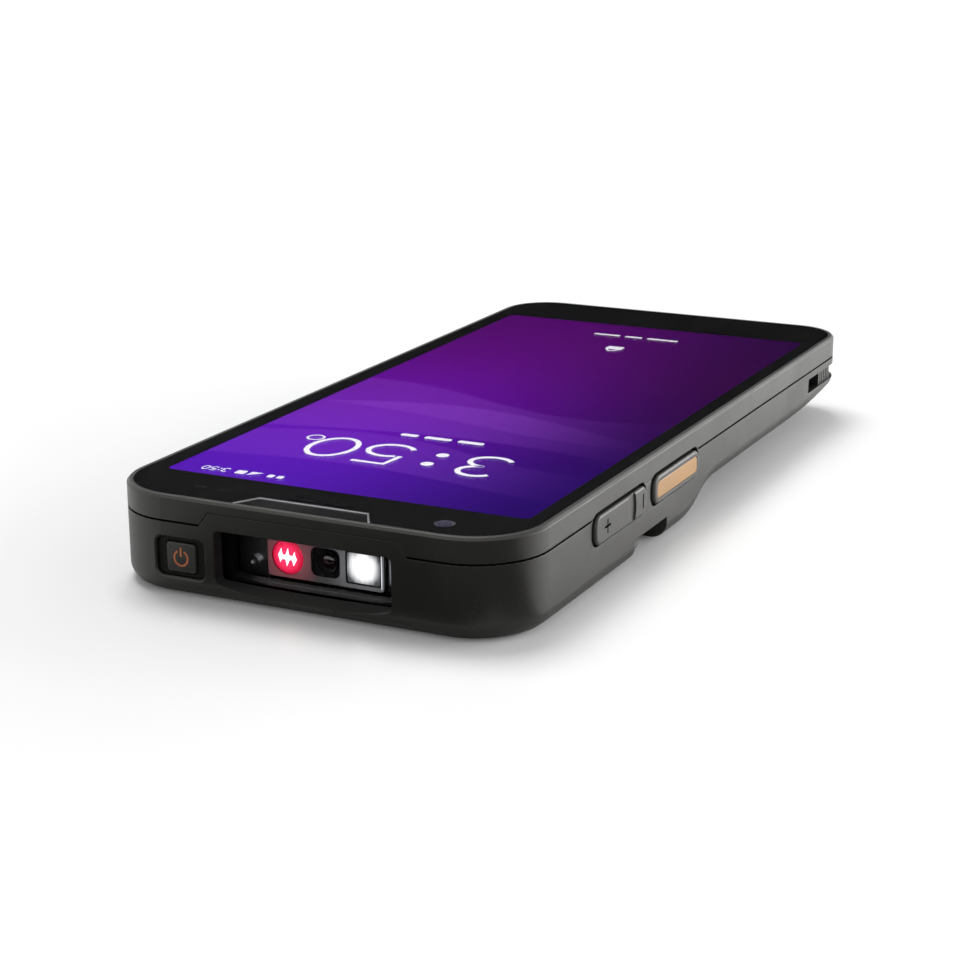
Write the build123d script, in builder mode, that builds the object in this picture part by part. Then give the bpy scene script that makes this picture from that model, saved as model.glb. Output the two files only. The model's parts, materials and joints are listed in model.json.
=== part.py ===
"""Portable barcode data terminal: a handheld computer with a scan head, in millimetres.

The terminal lies on its back. +X is the right of its screen, +Y points to the scan head and +Z out
of the screen. The origin is under the middle of the body, at the level of the head's underside.
"""

import math
import os

from build123d import *

os.makedirs("parts", exist_ok=True)

# ---- casing ---------------------------------------------------------------------------------------
body_length = 165.6
body_width = 76.0
body_height = 17.0
frame_height = 4.3  # from the top face down to the line where the frame meets the housing
split_groove = 0.2  # each half's edge is broken by this much along that line
head_corner_radius = 12.5
tail_corner_radius = 10.0
wall = 1.6
underside_round = 3.0
grip_height = 4.3  # the grip's underside, above the scan head's
head_length = 70.3  # from the head's end to the foot of the ramp
ramp_length = 17.5
tail_curl_length = 32.8  # the underside curls up slightly over this much of the tail
tail_curl_radius = 190.0
fit_gap = 0.1  # between pieces that are laid into one another

# ---- front frame, glass and display; margins are from the body's ends and sides ---------------------
frame_wall = 3.1
glass_thickness = 0.9
glass_rim = 1.1  # the frame's edge around the glass
rim_chamfer = 0.45
display_thickness = 1.6
display_head_margin = 12.3
display_tail_margin = 14.3
display_corner = 1.5
chassis_thickness = 1.2
chassis_head_margin = 10.8
chassis_rib = 4.0
chassis_pocket_count = (3, 4)
plate_half_widths = (12.8, 10.05)  # earpiece plate, at its head edge and its screen edge
plate_depth = 4.6
plate_lip = 0.6
plate_sink = 0.15
receiver_gap = 1.7  # from the earpiece plate to the slot's middle
receiver_size = (12.0, 4.4, 2.2)
receiver_slot = (10.4, 1.0)
front_camera_margins = (15.1, 6.6)  # from the side and from the head's end
front_camera_side = 6.4
front_camera_depth = 3.4
front_lens_radius = 1.7
sensor_margin = 14.0
sensor_size = (8.0, 2.4, 1.8)

# ---- scan head --------------------------------------------------------------------------------------
scan_x = -0.65  # the middle of the scan window
window_width = 32.5
window_top_margin = 0.45  # under the split line
window_bottom = 3.3
sill_bottom = 1.3  # the flared sill bulges down to here at the outer face
sill_slope_depth = 2.4
window_corner = 1.0
pane_thickness = 1.0
pane_lap = 1.35
pane_seal_thickness = 0.5
pane_bottom = 1.9
pane_corner = 1.0
baffle_wall = 1.0
head_tab_top_margin = 1.9  # the housing rises over the scan window to here, from the top face
head_tab_margins = (2.8, 0.95)  # past the window at the split line and at the tab's top
head_tab_thickness = 1.4
engine_depth_behind_face = 8.0
engine_size = (21.5, 11.2, 7.0)
engine_z = 3.3
faceplate_thickness = 0.8
aimer_offset = 7.05
aimer_radius = 3.0
imager_aperture = (5.4, 4.9)
imager_lens_radius = 1.7
light_size = (6.6, 5.6)
light_offset = -7.1
lens_depth = 2.4
lens_step = 0.4  # each lens steps in behind the faceplate
bracket_thickness = 0.8
bracket_ear = 6.0
bracket_post_side = 4.4
engine_screw_z = 5.0
scan_flex_width = 9.0
scan_flex_lap = 4.0
scan_flex_turn = 1.2
flex_thickness = 0.2

# ---- power button -----------------------------------------------------------------------------------
power_from_window = 6.6
power_z = 6.6
power_recess = (9.2, 6.6)
power_recess_depth = 1.6
power_recess_chamfer = 0.35
power_cap = (5.5, 5.0)
power_cap_sink = 0.4
power_floor = 1.2
button_stem_radius = 1.0
stem_clearance = 0.15
power_stem_length = 1.7
power_travel = 0.45
switch_side = 3.6
switch_depth = 1.6
switch_plunger = (0.75, 0.3)  # radius and height
key_board_thickness = 0.6

# ---- side keys; the band's place is from the head's end ----------------------------------------------
key_band_margin = 28.9
key_band_top_margin = 3.45  # from the top face
key_band_height = 5.9  # the frame's flap closes a notch in the housing over this height
flap_lap = 0.7
flap_thickness = 1.1
flap_rib = 2.0
key_pocket_depth = 2.0
key_pocket_corner = 2.4
key_seal_thickness = 0.25
key_proud = 0.55
key_travel = 0.45
key_rest_gap = 0.07
key_gaps = (0.3, 0.5)  # below and above a key
key_round = 0.5
key_end_gap = 0.75
scan_pocket_length = 23.0
scan_key_corner = 2.2
scan_pad_margin = (1.3, 1.05)  # along the key and across it
scan_pad_corner = 0.9
scan_pad_depth = 0.6
key_web = 1.9  # between the scan key's pocket and the volume rocker's
volume_pocket_length = 23.4
volume_corner = 2.0
volume_stem_inset = 4.4
volume_scoop_inset = 5.0  # a fingertip scoop ends in a curved step, this far from the rocker's tail end
volume_scoop_length = 3.4
volume_scoop_depth = 0.35
volume_scoop_radius = 6.0
mark_depth = 0.15
mark_width = 0.45
mark_length = 2.6
plus_inset = 4.7  # from the rocker's head end
minus_inset = 1.9  # from the rocker's tail end

# ---- underside; the bay's head end follows the ramp, its tail end the tail ----------------------------
bay_side_margin = 9.5
bay_head_gap = 1.0
bay_tail_margin = 16.8
bay_wall = 1.0
bay_roof_margin = 2.9  # from the chassis down to the roof's lower face
bay_roof_thickness = 0.8
cover_gap = 0.15
cover_corner = 0.6
cover_top = 5.6
cell_gap = 2.0  # to the bay's side walls and its head end
cell_tail_gap = 8.5
cell_top_gap = 0.2
cell_round = 1.2
bay_seal_gap = 0.3
bay_seal_width = 0.8
bay_seal_height = 0.6
bay_seal_lap = 1.7  # past the cell's tail end
latch_half_width = 6.0
latch_length = 5.7
latch_height = 1.5
latch_travel = 1.4
latch_gap = 0.3
thumb_half_width = 3.4
thumb_length = 2.0
thumb_inset = 0.6
thumb_ribs = 3
contact_x = (-4.5, -1.5, 1.5, 4.5)
contact_pad = (1.6, 2.6, 0.15)
connector_inset = 4.5
connector_half_width = 7.0
connector_length = 3.2
connector_gap = 0.05
connector_window_gap = 0.5
spring_pin = (0.8, 1.6, 0.2)

accessory_margin = 47.6  # the strap notches in both lower edges, from the head's end
accessory_length = 14.6
accessory_depth = 5.0
accessory_margin_below_keys = 3.55
accessory_wall = 1.2
accessory_pin_radius = 0.7
accessory_pin_inset = 1.3
accessory_pin_z = 2.9
accessory_pin_sink = 0.4
lanyard_margin = 24.7  # the groove's start, from the tail's end
lanyard_margin_below_split = (4.4, 1.5)
lanyard_depth = 2.4
lanyard_reach = 11.0  # the groove runs round the tail corner to here, from the side
lanyard_hole_margins = (17.4, 22.9)
lanyard_hole_depth = 4.6
lanyard_hole_sill = 1.0
lanyard_block = 7.0
lanyard_post_margins = (9.4, 16.6)
lanyard_post_sink = 0.5
lanyard_rib_count = 6
lanyard_rib_depth = 0.3

# ---- rear pieces in the scan head; places are from the middle and from the head's end -----------------
rear_camera_place = (16.0, 37.8)
rear_camera_side = 9.0
rear_camera_depth = 5.6
rear_window_radius = 5.0
rear_window_thickness = 0.8
rear_window_sink = 0.2
rear_lens_hole_radius = 3.6
flash_from_camera = 12.0
flash_radius = 2.2
flash_flange = (0.8, 1.0)  # past the lens, and high
speaker_place = (-15.0, 37.8)
speaker_size = (15.0, 12.0, 3.4)
speaker_slot = (1.0, 8.6)
speaker_slot_pitch = 2.2
speaker_slot_count = 5
motor_place = (4.0, 25.8)
motor_radius = 4.0
motor_height = 2.7

# ---- boards; places on the main board are from the middle and from its head edge ----------------------
board_side_margin = 10.5
board_head_margin = 24.8
board_tail_lap = 2.0  # short of the bay's tail end
board_corner = 1.5
board_thickness = 0.8
can_height = 1.9
can_wall = 0.2
can_places = ((-14.0, 36.0, 23.0, 26.0), (13.0, 38.0, 21.0, 22.0))  # x, y, width, length
chip_height = 1.0
chip_places = ((-12.0, 34.0, 14.0, 14.0), (8.0, 30.0, 11.0, 13.0), (-10.0, 62.0, 9.0, 7.0),
               (12.0, 56.0, 8.0, 10.0), (-14.0, 98.0, 6.0, 6.0))
card_socket_place = (12.0, 94.0)
card_socket_size = (16.0, 14.0, 1.2)
card_socket_wall = 0.2
card_socket_cheek = 1.0
lower_board_boss_gap = 1.5
lower_board_length = 9.0
lower_board_gap = 1.5  # from the bay's end wall
lower_board_drop = 2.4  # below the bay's roof
usb_half_width = 4.5
usb_height = 3.2
usb_length = 7.4
usb_wall = 0.3
usb_back = 0.6
usb_tongue = 0.7
usb_gap = 0.2
usb_sink = 0.4
link_flex_half_width = 6.0
link_flex_lap = 2.4
link_flex_reach = 3.0
link_flex_gap = 0.9
dock_contact_x = (13.0, 15.5, 18.0, 20.5)
dock_contact_inset = 3.0
dock_contact_radius = 0.8

# ---- screws -----------------------------------------------------------------------------------------
head_screw_margins = (6.5, 21.8)  # from the side and from the head's end
bay_screw_margins = (5.5, 5.0)  # from the side and from the bay's head end
tail_screw_margins = (12.0, 8.8)  # from the side and from the tail's end
screw_shank_radius = 0.9
screw_head_radius = 1.9
screw_head_height = 1.0
screw_head_sink = 0.3
screw_clearance = 0.1
screw_seat_clearance = 0.05
housing_boss_radius = 2.5
housing_boss_margin = 2.3  # under the chassis
chassis_boss_radius = 2.2
screw_tip_margin = 0.7  # under the chassis
drive_recess_width = 1.1
drive_recess_depth = 0.5
engine_screw_radius = 0.6
engine_screw_head = (1.1, 0.7)  # radius and height
engine_screw_length = 3.0
engine_screw_drive_radius = 0.4

# ---- levels and places that follow from them ----------------------------------------------------------
half_length = body_length / 2
half_width = body_width / 2
split_height = body_height - frame_height
ramp_start = half_length - head_length
ramp_end = ramp_start - ramp_length
tail_start = tail_curl_length - half_length
glass_seat = body_height - glass_thickness
display_seat = glass_seat - display_thickness
chassis_bottom = display_seat - chassis_thickness
housing_boss_top = chassis_bottom - housing_boss_margin
screw_tip_height = chassis_bottom - screw_tip_margin
display_span = (display_tail_margin - half_length, half_length - display_head_margin)
display_half = half_width - frame_wall - fit_gap
plate_head_y = half_length - glass_rim - fit_gap
plate_span_y = (plate_head_y - plate_depth, plate_head_y)
receiver_y = plate_span_y[0] - receiver_gap
front_camera_at = (front_camera_margins[0] - half_width, half_length - front_camera_margins[1])
sensor_x = (half_width - sensor_margin - sensor_size[0], half_width - sensor_margin)
head_tab_half_widths = tuple(window_width / 2 + margin for margin in head_tab_margins)
head_tab_height = body_height - head_tab_top_margin
window_top = split_height - window_top_margin
pane_height = (pane_bottom, split_height - fit_gap)
bay_roof_bottom = chassis_bottom - bay_roof_margin
board_bottom = bay_roof_bottom + bay_roof_thickness
board_top = board_bottom + board_thickness
lower_board_z = bay_roof_bottom - lower_board_drop
cell_top = bay_roof_bottom - cell_top_gap
bay_half_width = half_width - bay_side_margin
board_half_width = half_width - board_side_margin
inner_face_y = half_length - wall
land_back_y = half_length - sill_slope_depth
pane_front = land_back_y - pane_seal_thickness - fit_gap
pane_back = pane_front - pane_thickness
engine_face = half_length - engine_depth_behind_face
engine_top = engine_z + engine_size[2]
engine_mid_z = engine_z + engine_size[2] / 2
faceplate_back = engine_face - faceplate_thickness
engine_back = faceplate_back - engine_size[1]
ear_front = faceplate_back - 2 * fit_gap
ear_x = engine_size[0] / 2 + bracket_ear / 2 + fit_gap
power_at = (scan_x + window_width / 2 + power_from_window, power_z)
power_floor_y = half_length - power_recess_depth
power_back_y = power_floor_y + power_travel + key_rest_gap
power_stem_end_y = power_floor_y - power_stem_length
power_switch_y = power_stem_end_y - power_travel - key_rest_gap
pocket_floor_x = half_width - key_pocket_depth
flap_inner_x = pocket_floor_x - flap_thickness
seal_face_x = pocket_floor_x + key_seal_thickness
key_back_x = seal_face_x + key_travel + key_rest_gap
key_face_x = half_width + key_proud
stem_end_x = flap_inner_x - fit_gap
switch_face_x = stem_end_x - key_travel - key_rest_gap
key_board_x = switch_face_x - switch_depth / 2
key_band_top = body_height - key_band_top_margin
key_band_bottom = key_band_top - key_band_height
key_bottom = key_band_bottom + key_gaps[0]
key_top = key_band_top - key_gaps[1]
key_mid_z = (key_bottom + key_top) / 2
volume_pocket_end = half_length - key_band_margin
volume_pocket = (volume_pocket_end - volume_pocket_length, volume_pocket_end)
scan_key_pocket = (volume_pocket[0] - key_web - scan_pocket_length, volume_pocket[0] - key_web)
volume_y = (volume_pocket[0] + key_end_gap, volume_pocket[1] - key_end_gap)
scan_key_y = (scan_key_pocket[0] + key_end_gap, scan_key_pocket[1] - key_end_gap)
bay_y = (bay_tail_margin - half_length, ramp_end - bay_head_gap)
cell_y = (bay_y[0] + cell_tail_gap, bay_y[1] - cell_gap)
latch_y = (bay_y[0] + latch_gap, bay_y[0] + latch_gap + latch_length)
thumb_y = (latch_y[1] - thumb_inset - thumb_length, latch_y[1] - thumb_inset)
connector_y = bay_y[1] - connector_inset
accessory_height = key_band_bottom - accessory_margin_below_keys
accessory_y = (half_length - accessory_margin - accessory_length, half_length - accessory_margin)
lanyard_z = tuple(split_height - margin for margin in lanyard_margin_below_split)
lanyard_start_y = lanyard_margin - half_length
lanyard_hole_y = tuple(margin - half_length for margin in lanyard_hole_margins)
lanyard_post_y = tuple(margin - half_length for margin in lanyard_post_margins)
rear_camera_at = (rear_camera_place[0], half_length - rear_camera_place[1])
flash_at = (rear_camera_at[0], rear_camera_at[1] - flash_from_camera)
speaker_at = (speaker_place[0], half_length - speaker_place[1])
motor_at = (motor_place[0], half_length - motor_place[1])
board_y = (bay_y[0] + board_tail_lap, half_length - board_head_margin)
lower_board_head_y = bay_y[0] - bay_wall - lower_board_gap
lower_board_y = (lower_board_head_y - lower_board_length, lower_board_head_y)
dock_contact_y = lower_board_head_y - dock_contact_inset
lower_board_half_width = half_width - tail_screw_margins[0] - housing_boss_radius - lower_board_boss_gap
screw_places = (
    (half_width - head_screw_margins[0], half_length - head_screw_margins[1]),
    (half_width - bay_screw_margins[0], bay_y[1] - bay_screw_margins[1]),
    (half_width - tail_screw_margins[0], tail_screw_margins[1] - half_length),
)


# ---- shared shapes -------------------------------------------------------------------------------
def body_outline(inset, level):
    """The casing's outline from above, moved in by inset, as a sketch at a level."""
    head_radius = head_corner_radius - inset
    tail_radius = tail_corner_radius - inset
    with BuildSketch(Plane.XY.offset(level)) as outline:
        Rectangle(body_width - 2 * inset, body_length - 2 * inset)
        fillet(outline.vertices().group_by(Axis.Y)[-1], head_radius)
        fillet(outline.vertices().group_by(Axis.Y)[0], tail_radius)
    return outline.sketch


def underside_level(y):
    """The height of the casing's underside at a place along its length."""
    if y >= ramp_start:
        return 0.0
    if y > ramp_end:
        radius = ramp_radius()
        if y > (ramp_start + ramp_end) / 2:
            return radius - math.sqrt(radius**2 - (ramp_start - y) ** 2)
        return grip_height - radius + math.sqrt(radius**2 - (y - ramp_end) ** 2)
    if y > tail_start:
        return grip_height
    return grip_height + tail_curl_radius - math.sqrt(tail_curl_radius**2 - (tail_start - y) ** 2)


def ramp_radius():
    """The radius of the ramp's two equal arcs, which meet half way up."""
    return ((ramp_length / 2) ** 2 + (grip_height / 2) ** 2) / grip_height


def casing_solid(inset, floor, top):
    """The casing's lower volume, moved in by inset at its sides and raised by floor."""
    reach = half_length - inset
    with BuildPart() as casing:
        extrude(body_outline(inset, 0), amount=top)
        with BuildSketch(Plane.YZ):
            with BuildLine():
                flat = Line((reach, floor), (ramp_start, floor))
                middle = ((ramp_start + ramp_end) / 2, floor + grip_height / 2)
                lower = TangentArc(flat @ 1, middle, tangent=(-1, 0))
                upper = TangentArc(lower @ 1, (ramp_end, floor + grip_height), tangent=lower % 1)
                grip = Line(upper @ 1, (tail_start, floor + grip_height))
                tail = TangentArc(grip @ 1, (-reach, floor + underside_level(-reach)), tangent=(-1, 0))
                Polyline(tail @ 1, (-reach, top), (reach, top), (reach, floor))
            make_face()
        extrude(amount=body_width / 2, both=True, mode=Mode.INTERSECT)
        if inset == 0:
            rim = casing.edges().filter_by(lambda edge: is_underside_rim(edge, top))
            fillet(rim, underside_round)
            chamfer(casing.edges().group_by(Axis.Z)[-1], split_groove)
    return casing.part


def is_underside_rim(edge, top):
    """Whether an edge of the casing lies where its underside meets its side walls."""
    middle = edge @ 0.5
    on_side = abs(abs(middle.X) - half_width) < 0.01 or abs(abs(middle.Y) - half_length) < 0.01
    on_corner = abs(middle.X) > half_width - head_corner_radius and abs(middle.Y) > half_length / 2
    level = abs((edge @ 0).Z - (edge @ 1).Z) < grip_height
    upright = abs((edge @ 0).X - (edge @ 1).X) + abs((edge @ 0).Y - (edge @ 1).Y) < 0.01
    return (on_side or on_corner) and level and not upright and middle.Z < top - underside_round


def block(x, y, z, mode=Mode.ADD):
    """A box between two values along each axis."""
    with Locations(((x[0] + x[1]) / 2, (y[0] + y[1]) / 2, (z[0] + z[1]) / 2)):
        Box(abs(x[1] - x[0]), abs(y[1] - y[0]), abs(z[1] - z[0]), mode=mode)


def round_rod(x, y, z, radius, mode=Mode.ADD):
    """An upright round rod at x, y between two levels."""
    with Locations((x, y, z[0])):
        Cylinder(radius, z[1] - z[0], align=(Align.CENTER, Align.CENTER, Align.MIN), mode=mode)


def rod_along_y(x, z, y, radius, mode=Mode.ADD):
    """A round rod along the length, from y[0] to y[1]."""
    with Locations(Location((x, y[0], z), (-90, 0, 0))):
        Cylinder(radius, y[1] - y[0], align=(Align.CENTER, Align.CENTER, Align.MIN), mode=mode)


def rod_along_x(y, z, x, radius, mode=Mode.ADD):
    """A round rod across the width, from x[0] to x[1]."""
    with Locations(Location((x[0], y, z), (0, 90, 0))):
        Cylinder(radius, x[1] - x[0], align=(Align.CENTER, Align.CENTER, Align.MIN), mode=mode)


def side_span(side, near, far):
    """Two x values on one side of the middle, in rising order."""
    return tuple(sorted((side * near, side * far)))


def rounded_slab(plane, size, corner, thickness):
    """A rounded rectangle of a thickness, raised from the middle of a plane."""
    with BuildPart() as slab:
        with BuildSketch(plane):
            RectangleRounded(size[0], size[1], corner)
        extrude(amount=thickness)
    return slab.part


def pocket_slab(side, pocket, inset, thickness):
    """A slab in the shape of a key's pocket, raised from the pocket's floor."""
    floor = Plane((side * pocket_floor_x, sum(pocket) / 2, (key_band_bottom + key_band_top) / 2),
                  x_dir=(0, side, 0), z_dir=(side, 0, 0))
    size = (pocket[1] - pocket[0] - 2 * inset, key_band_height - 2 * inset)
    return rounded_slab(floor, size, key_pocket_corner - inset, thickness)


def save(piece, name):
    """Names a finished piece and writes it."""
    piece.label = name
    export_step(piece, f"parts/{name}.step")


def tab_outline(gap):
    """The raised part of the housing over the scan window, seen from the head."""
    bottom, top = (half + gap for half in head_tab_half_widths)
    with BuildSketch(Plane.XZ.offset(-half_length)) as tab:
        with BuildLine():
            Polyline(
                (scan_x - bottom, split_height - split_groove),
                (scan_x + bottom, split_height - split_groove),
                (scan_x + top, head_tab_height + gap),
                (scan_x - top, head_tab_height + gap),
                close=True,
            )
        make_face()
    return tab.sketch


def window_outline(y, bottom, bulge):
    """The scan window's outline at a depth, its lower edge bulging down."""
    left, right = (scan_x - window_width / 2, scan_x + window_width / 2)
    with BuildSketch(Plane.XZ.offset(-y)) as outline:
        with BuildLine():
            ThreePointArc((left, bottom), (scan_x, bottom - bulge), (right, bottom))
            Polyline((right, bottom), (right, window_top), (left, window_top), (left, bottom))
        make_face()
        fillet(outline.vertices(), window_corner)
    return outline.sketch


def trapezoid_plate(gap, level, thickness):
    """The earpiece plate's prism, narrowed by gap all round."""
    head_half, screen_half = (half - gap for half in plate_half_widths)
    with BuildPart() as plate:
        with BuildSketch(Plane.XY.offset(level)):
            with BuildLine():
                Polyline(
                    (-screen_half, plate_span_y[0] + gap),
                    (screen_half, plate_span_y[0] + gap),
                    (head_half, plate_span_y[1] - gap),
                    (-head_half, plate_span_y[1] - gap),
                    close=True,
                )
            make_face()
        extrude(amount=thickness)
    return plate.part


both_sides = (-1, 1)
screw_spots = [(side * x, y) for x, y in screw_places for side in both_sides]
key_pockets = {-1: (scan_key_pocket, volume_pocket), 1: (scan_key_pocket,)}
# the frame's flap runs from the first pocket to the last on its side
flap_spans = {side: (pockets[0][0], pockets[-1][1]) for side, pockets in key_pockets.items()}
stem_places = {
    -1: (
        sum(scan_key_y) / 2,
        volume_y[0] + volume_stem_inset,
        volume_y[1] - volume_stem_inset,
    ),
    1: (sum(scan_key_y) / 2,),
}

# ---- rear housing: the shell with the scan head and the grip -------------------------------------
outer_casing = casing_solid(0, 0, split_height)
inner_space = casing_solid(wall, wall, split_height)

with BuildPart() as rear_housing:
    add(outer_casing)
    add(inner_space, mode=Mode.SUBTRACT)
    # solid lands inside: window frame, power button seat, battery bay, strap notches, lanyard corner
    land_half = window_width / 2 + pane_lap
    block((scan_x - land_half, scan_x + land_half), (land_back_y, inner_face_y),
          (wall, split_height))
    block((scan_x + land_half, power_at[0] + power_recess[0] / 2 + wall / 2),
          (power_floor_y - power_floor, inner_face_y),
          (wall, power_at[1] + power_recess[1] / 2 + wall))
    block((-bay_half_width - bay_wall, bay_half_width + bay_wall),
          (bay_y[0] - bay_wall, bay_y[1] + bay_wall),
          (grip_height + wall / 2, board_bottom))
    for side in both_sides:
        block(side_span(side, half_width - wall, half_width - accessory_depth - accessory_wall),
              (accessory_y[0] - accessory_wall, accessory_y[1] + accessory_wall),
              (wall, accessory_height + accessory_wall))
    block((-half_width + wall, -half_width + lanyard_block),
          (-half_length + tail_corner_radius, lanyard_start_y + wall),
          (grip_height + wall, split_height))
    with BuildSketch(Plane.XY.offset(lanyard_z[0] - wall)):
        add(body_outline(wall / 2, lanyard_z[0] - wall))
        with Locations((-half_width, -half_length)):
            land_reach = lanyard_reach + wall
            Rectangle(2 * land_reach, 2 * land_reach, mode=Mode.INTERSECT)
    extrude(amount=split_height - lanyard_z[0] + wall)
    for x, y in screw_spots:
        round_rod(x, y, (underside_level(y) + wall / 2, housing_boss_top), housing_boss_radius)
    # posts that carry the scan engine's bracket
    for side in both_sides:
        centre = scan_x + side * ear_x
        block((centre - bracket_post_side / 2, centre + bracket_post_side / 2),
              (ear_front - bracket_thickness - bracket_post_side, ear_front - bracket_thickness),
              (wall / 2, engine_mid_z + bracket_post_side / 2))
    # the raised tab over the scan window
    extrude(tab_outline(-fit_gap), amount=head_tab_thickness)
    # scan window with its sloping sill
    sill_bulge = window_bottom - sill_bottom
    loft([window_outline(half_length + 0.1, window_bottom, sill_bulge),
          window_outline(land_back_y - 0.1, window_bottom, sill_bulge / 8)],
         mode=Mode.SUBTRACT)
    # power button seat
    with BuildSketch(Plane.XZ.offset(-half_length - 0.1)):
        with Locations(power_at):
            RectangleRounded(power_recess[0], power_recess[1], 1.2)
    extrude(amount=power_recess_depth + 0.1, mode=Mode.SUBTRACT)
    with BuildSketch(Plane.XZ.offset(-half_length)):
        with Locations(power_at):
            RectangleRounded(power_recess[0] + 2 * power_recess_chamfer,
                             power_recess[1] + 2 * power_recess_chamfer, 1.2 + power_recess_chamfer)
    extrude(amount=power_recess_chamfer, taper=45, mode=Mode.SUBTRACT)
    rod_along_y(power_at[0], power_at[1], (power_floor_y - 2 * power_floor, power_floor_y),
                button_stem_radius + stem_clearance, mode=Mode.SUBTRACT)
    # side notches that the frame's flaps close
    for side, (low, high) in flap_spans.items():
        block(side_span(side, half_width - wall - 0.5, half_width + 1), (low, high),
              (key_band_bottom, split_height + 1), mode=Mode.SUBTRACT)
    # battery bay, open below, with the latch slot and the connector window
    block((-bay_half_width, bay_half_width), bay_y, (-1, bay_roof_bottom), mode=Mode.SUBTRACT)
    slot_half = latch_half_width + latch_gap
    block((-slot_half, slot_half), (bay_y[0] - bay_wall - 0.1, bay_y[0] + 0.1),
          (cover_top - latch_gap, cover_top + latch_height + 2 * latch_gap),
          mode=Mode.SUBTRACT)
    window_half = connector_half_width + connector_window_gap
    window_reach = connector_length / 2 + connector_window_gap
    block((-window_half, window_half), (connector_y - window_reach, connector_y + window_reach),
          (bay_roof_bottom - 1, board_bottom), mode=Mode.SUBTRACT)
    # strap notches
    for side in both_sides:
        block(side_span(side, half_width + 1, half_width - accessory_depth), accessory_y,
              (-1, accessory_height), mode=Mode.SUBTRACT)
        rod_along_x(accessory_y[1] - accessory_pin_inset, accessory_pin_z,
                    side_span(side, half_width - accessory_depth - accessory_wall,
                              half_width - accessory_depth + 1),
                    accessory_pin_radius, mode=Mode.SUBTRACT)
    # lanyard groove round the tail corner, and the hole beside the post
    with BuildSketch(Plane.XY.offset(lanyard_z[0])):
        Rectangle(3 * body_width, 3 * body_length)
        add(body_outline(lanyard_depth, lanyard_z[0]), mode=Mode.SUBTRACT)
        with Locations((lanyard_reach - body_width, lanyard_start_y - half_length)):
            Rectangle(body_width, body_length, mode=Mode.INTERSECT)
    extrude(amount=lanyard_z[1] - lanyard_z[0], mode=Mode.SUBTRACT)
    block((-half_width, -half_width + lanyard_hole_depth), lanyard_hole_y,
          (lanyard_z[0] + lanyard_hole_sill, lanyard_z[1]), mode=Mode.SUBTRACT)
    # openings in the floor: rear camera, flash, loudspeaker slots, dock contacts
    round_rod(*rear_camera_at, (-1, rear_window_thickness + rear_window_sink), rear_window_radius + fit_gap,
              mode=Mode.SUBTRACT)
    round_rod(*rear_camera_at, (-1, wall + 1), rear_lens_hole_radius, mode=Mode.SUBTRACT)
    round_rod(*flash_at, (-1, wall + 1), flash_radius + fit_gap, mode=Mode.SUBTRACT)
    with BuildSketch(Plane.XY.offset(-1)):
        with Locations(speaker_at):
            with GridLocations(speaker_slot_pitch, 0, speaker_slot_count, 1):
                SlotOverall(speaker_slot[1], speaker_slot[0], rotation=90)
    extrude(amount=wall + 2, mode=Mode.SUBTRACT)
    for x in dock_contact_x:
        round_rod(x, dock_contact_y, (0, lower_board_z), dock_contact_radius + fit_gap, mode=Mode.SUBTRACT)
    # port for the charging plug in the tail
    with BuildSketch(Plane.XZ.offset(half_length + 0.1)):
        with Locations((0, lower_board_z + board_thickness + usb_height / 2)):
            RectangleRounded(2 * (usb_half_width + usb_gap), usb_height + 2 * usb_gap, usb_height / 2)
    extrude(amount=-wall - 1, mode=Mode.SUBTRACT)
    # screw holes and head recesses
    for x, y in screw_spots:
        seat = underside_level(y) + screw_head_sink + screw_head_height
        round_rod(x, y, (-1, seat), screw_head_radius + screw_clearance, mode=Mode.SUBTRACT)
        round_rod(x, y, (seat, split_height + 1), screw_shank_radius + screw_clearance, mode=Mode.SUBTRACT)
        round_rod(x, y, (housing_boss_top, split_height + 1), chassis_boss_radius + fit_gap,
                  mode=Mode.SUBTRACT)
    for side in both_sides:
        rod_along_y(scan_x + side * ear_x, engine_screw_z,
                    (ear_front - bracket_thickness - engine_screw_length, ear_front),
                    engine_screw_radius + screw_seat_clearance, mode=Mode.SUBTRACT)
save(rear_housing.part, "rear_housing")

# ---- front frame: the rim round the glass, with flaps behind the side keys -----------------------
glass_notch = trapezoid_plate(-fit_gap / 2, glass_seat, glass_thickness + 1)
with BuildPart() as front_frame:
    extrude(body_outline(0, split_height), amount=body_height - split_height)
    chamfer(front_frame.edges().group_by(Axis.Z)[-1], rim_chamfer)
    chamfer(front_frame.edges().group_by(Axis.Z)[0], split_groove)
    extrude(body_outline(glass_rim, glass_seat), amount=glass_thickness + 1, mode=Mode.SUBTRACT)
    extrude(body_outline(frame_wall, split_height - 1), amount=body_height, mode=Mode.SUBTRACT)
    extrude(tab_outline(0), amount=head_tab_thickness + fit_gap, mode=Mode.SUBTRACT)
    for side, (low, high) in flap_spans.items():
        block(side_span(side, flap_inner_x, pocket_floor_x), (low, high),
              (key_band_bottom - flap_lap, split_height))
        block(side_span(side, pocket_floor_x, half_width), (low, high), (key_band_bottom, split_height))
        # the flap's outer face is cut back to a round-cornered pocket for each key
        for pocket in key_pockets[side]:
            add(pocket_slab(side, pocket, 0, half_width + 1 - pocket_floor_x), mode=Mode.SUBTRACT)
        for y in stem_places[side]:
            rod_along_x(y, key_mid_z, side_span(side, flap_inner_x - 1, half_width),
                        button_stem_radius + stem_clearance, mode=Mode.SUBTRACT)
        # a rib that the key board is screwed against, clear of the stems
        block(side_span(side, key_board_x, flap_inner_x), (low, low + flap_rib),
              (key_band_bottom, split_height))
save(front_frame.part, "front_frame")

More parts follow.
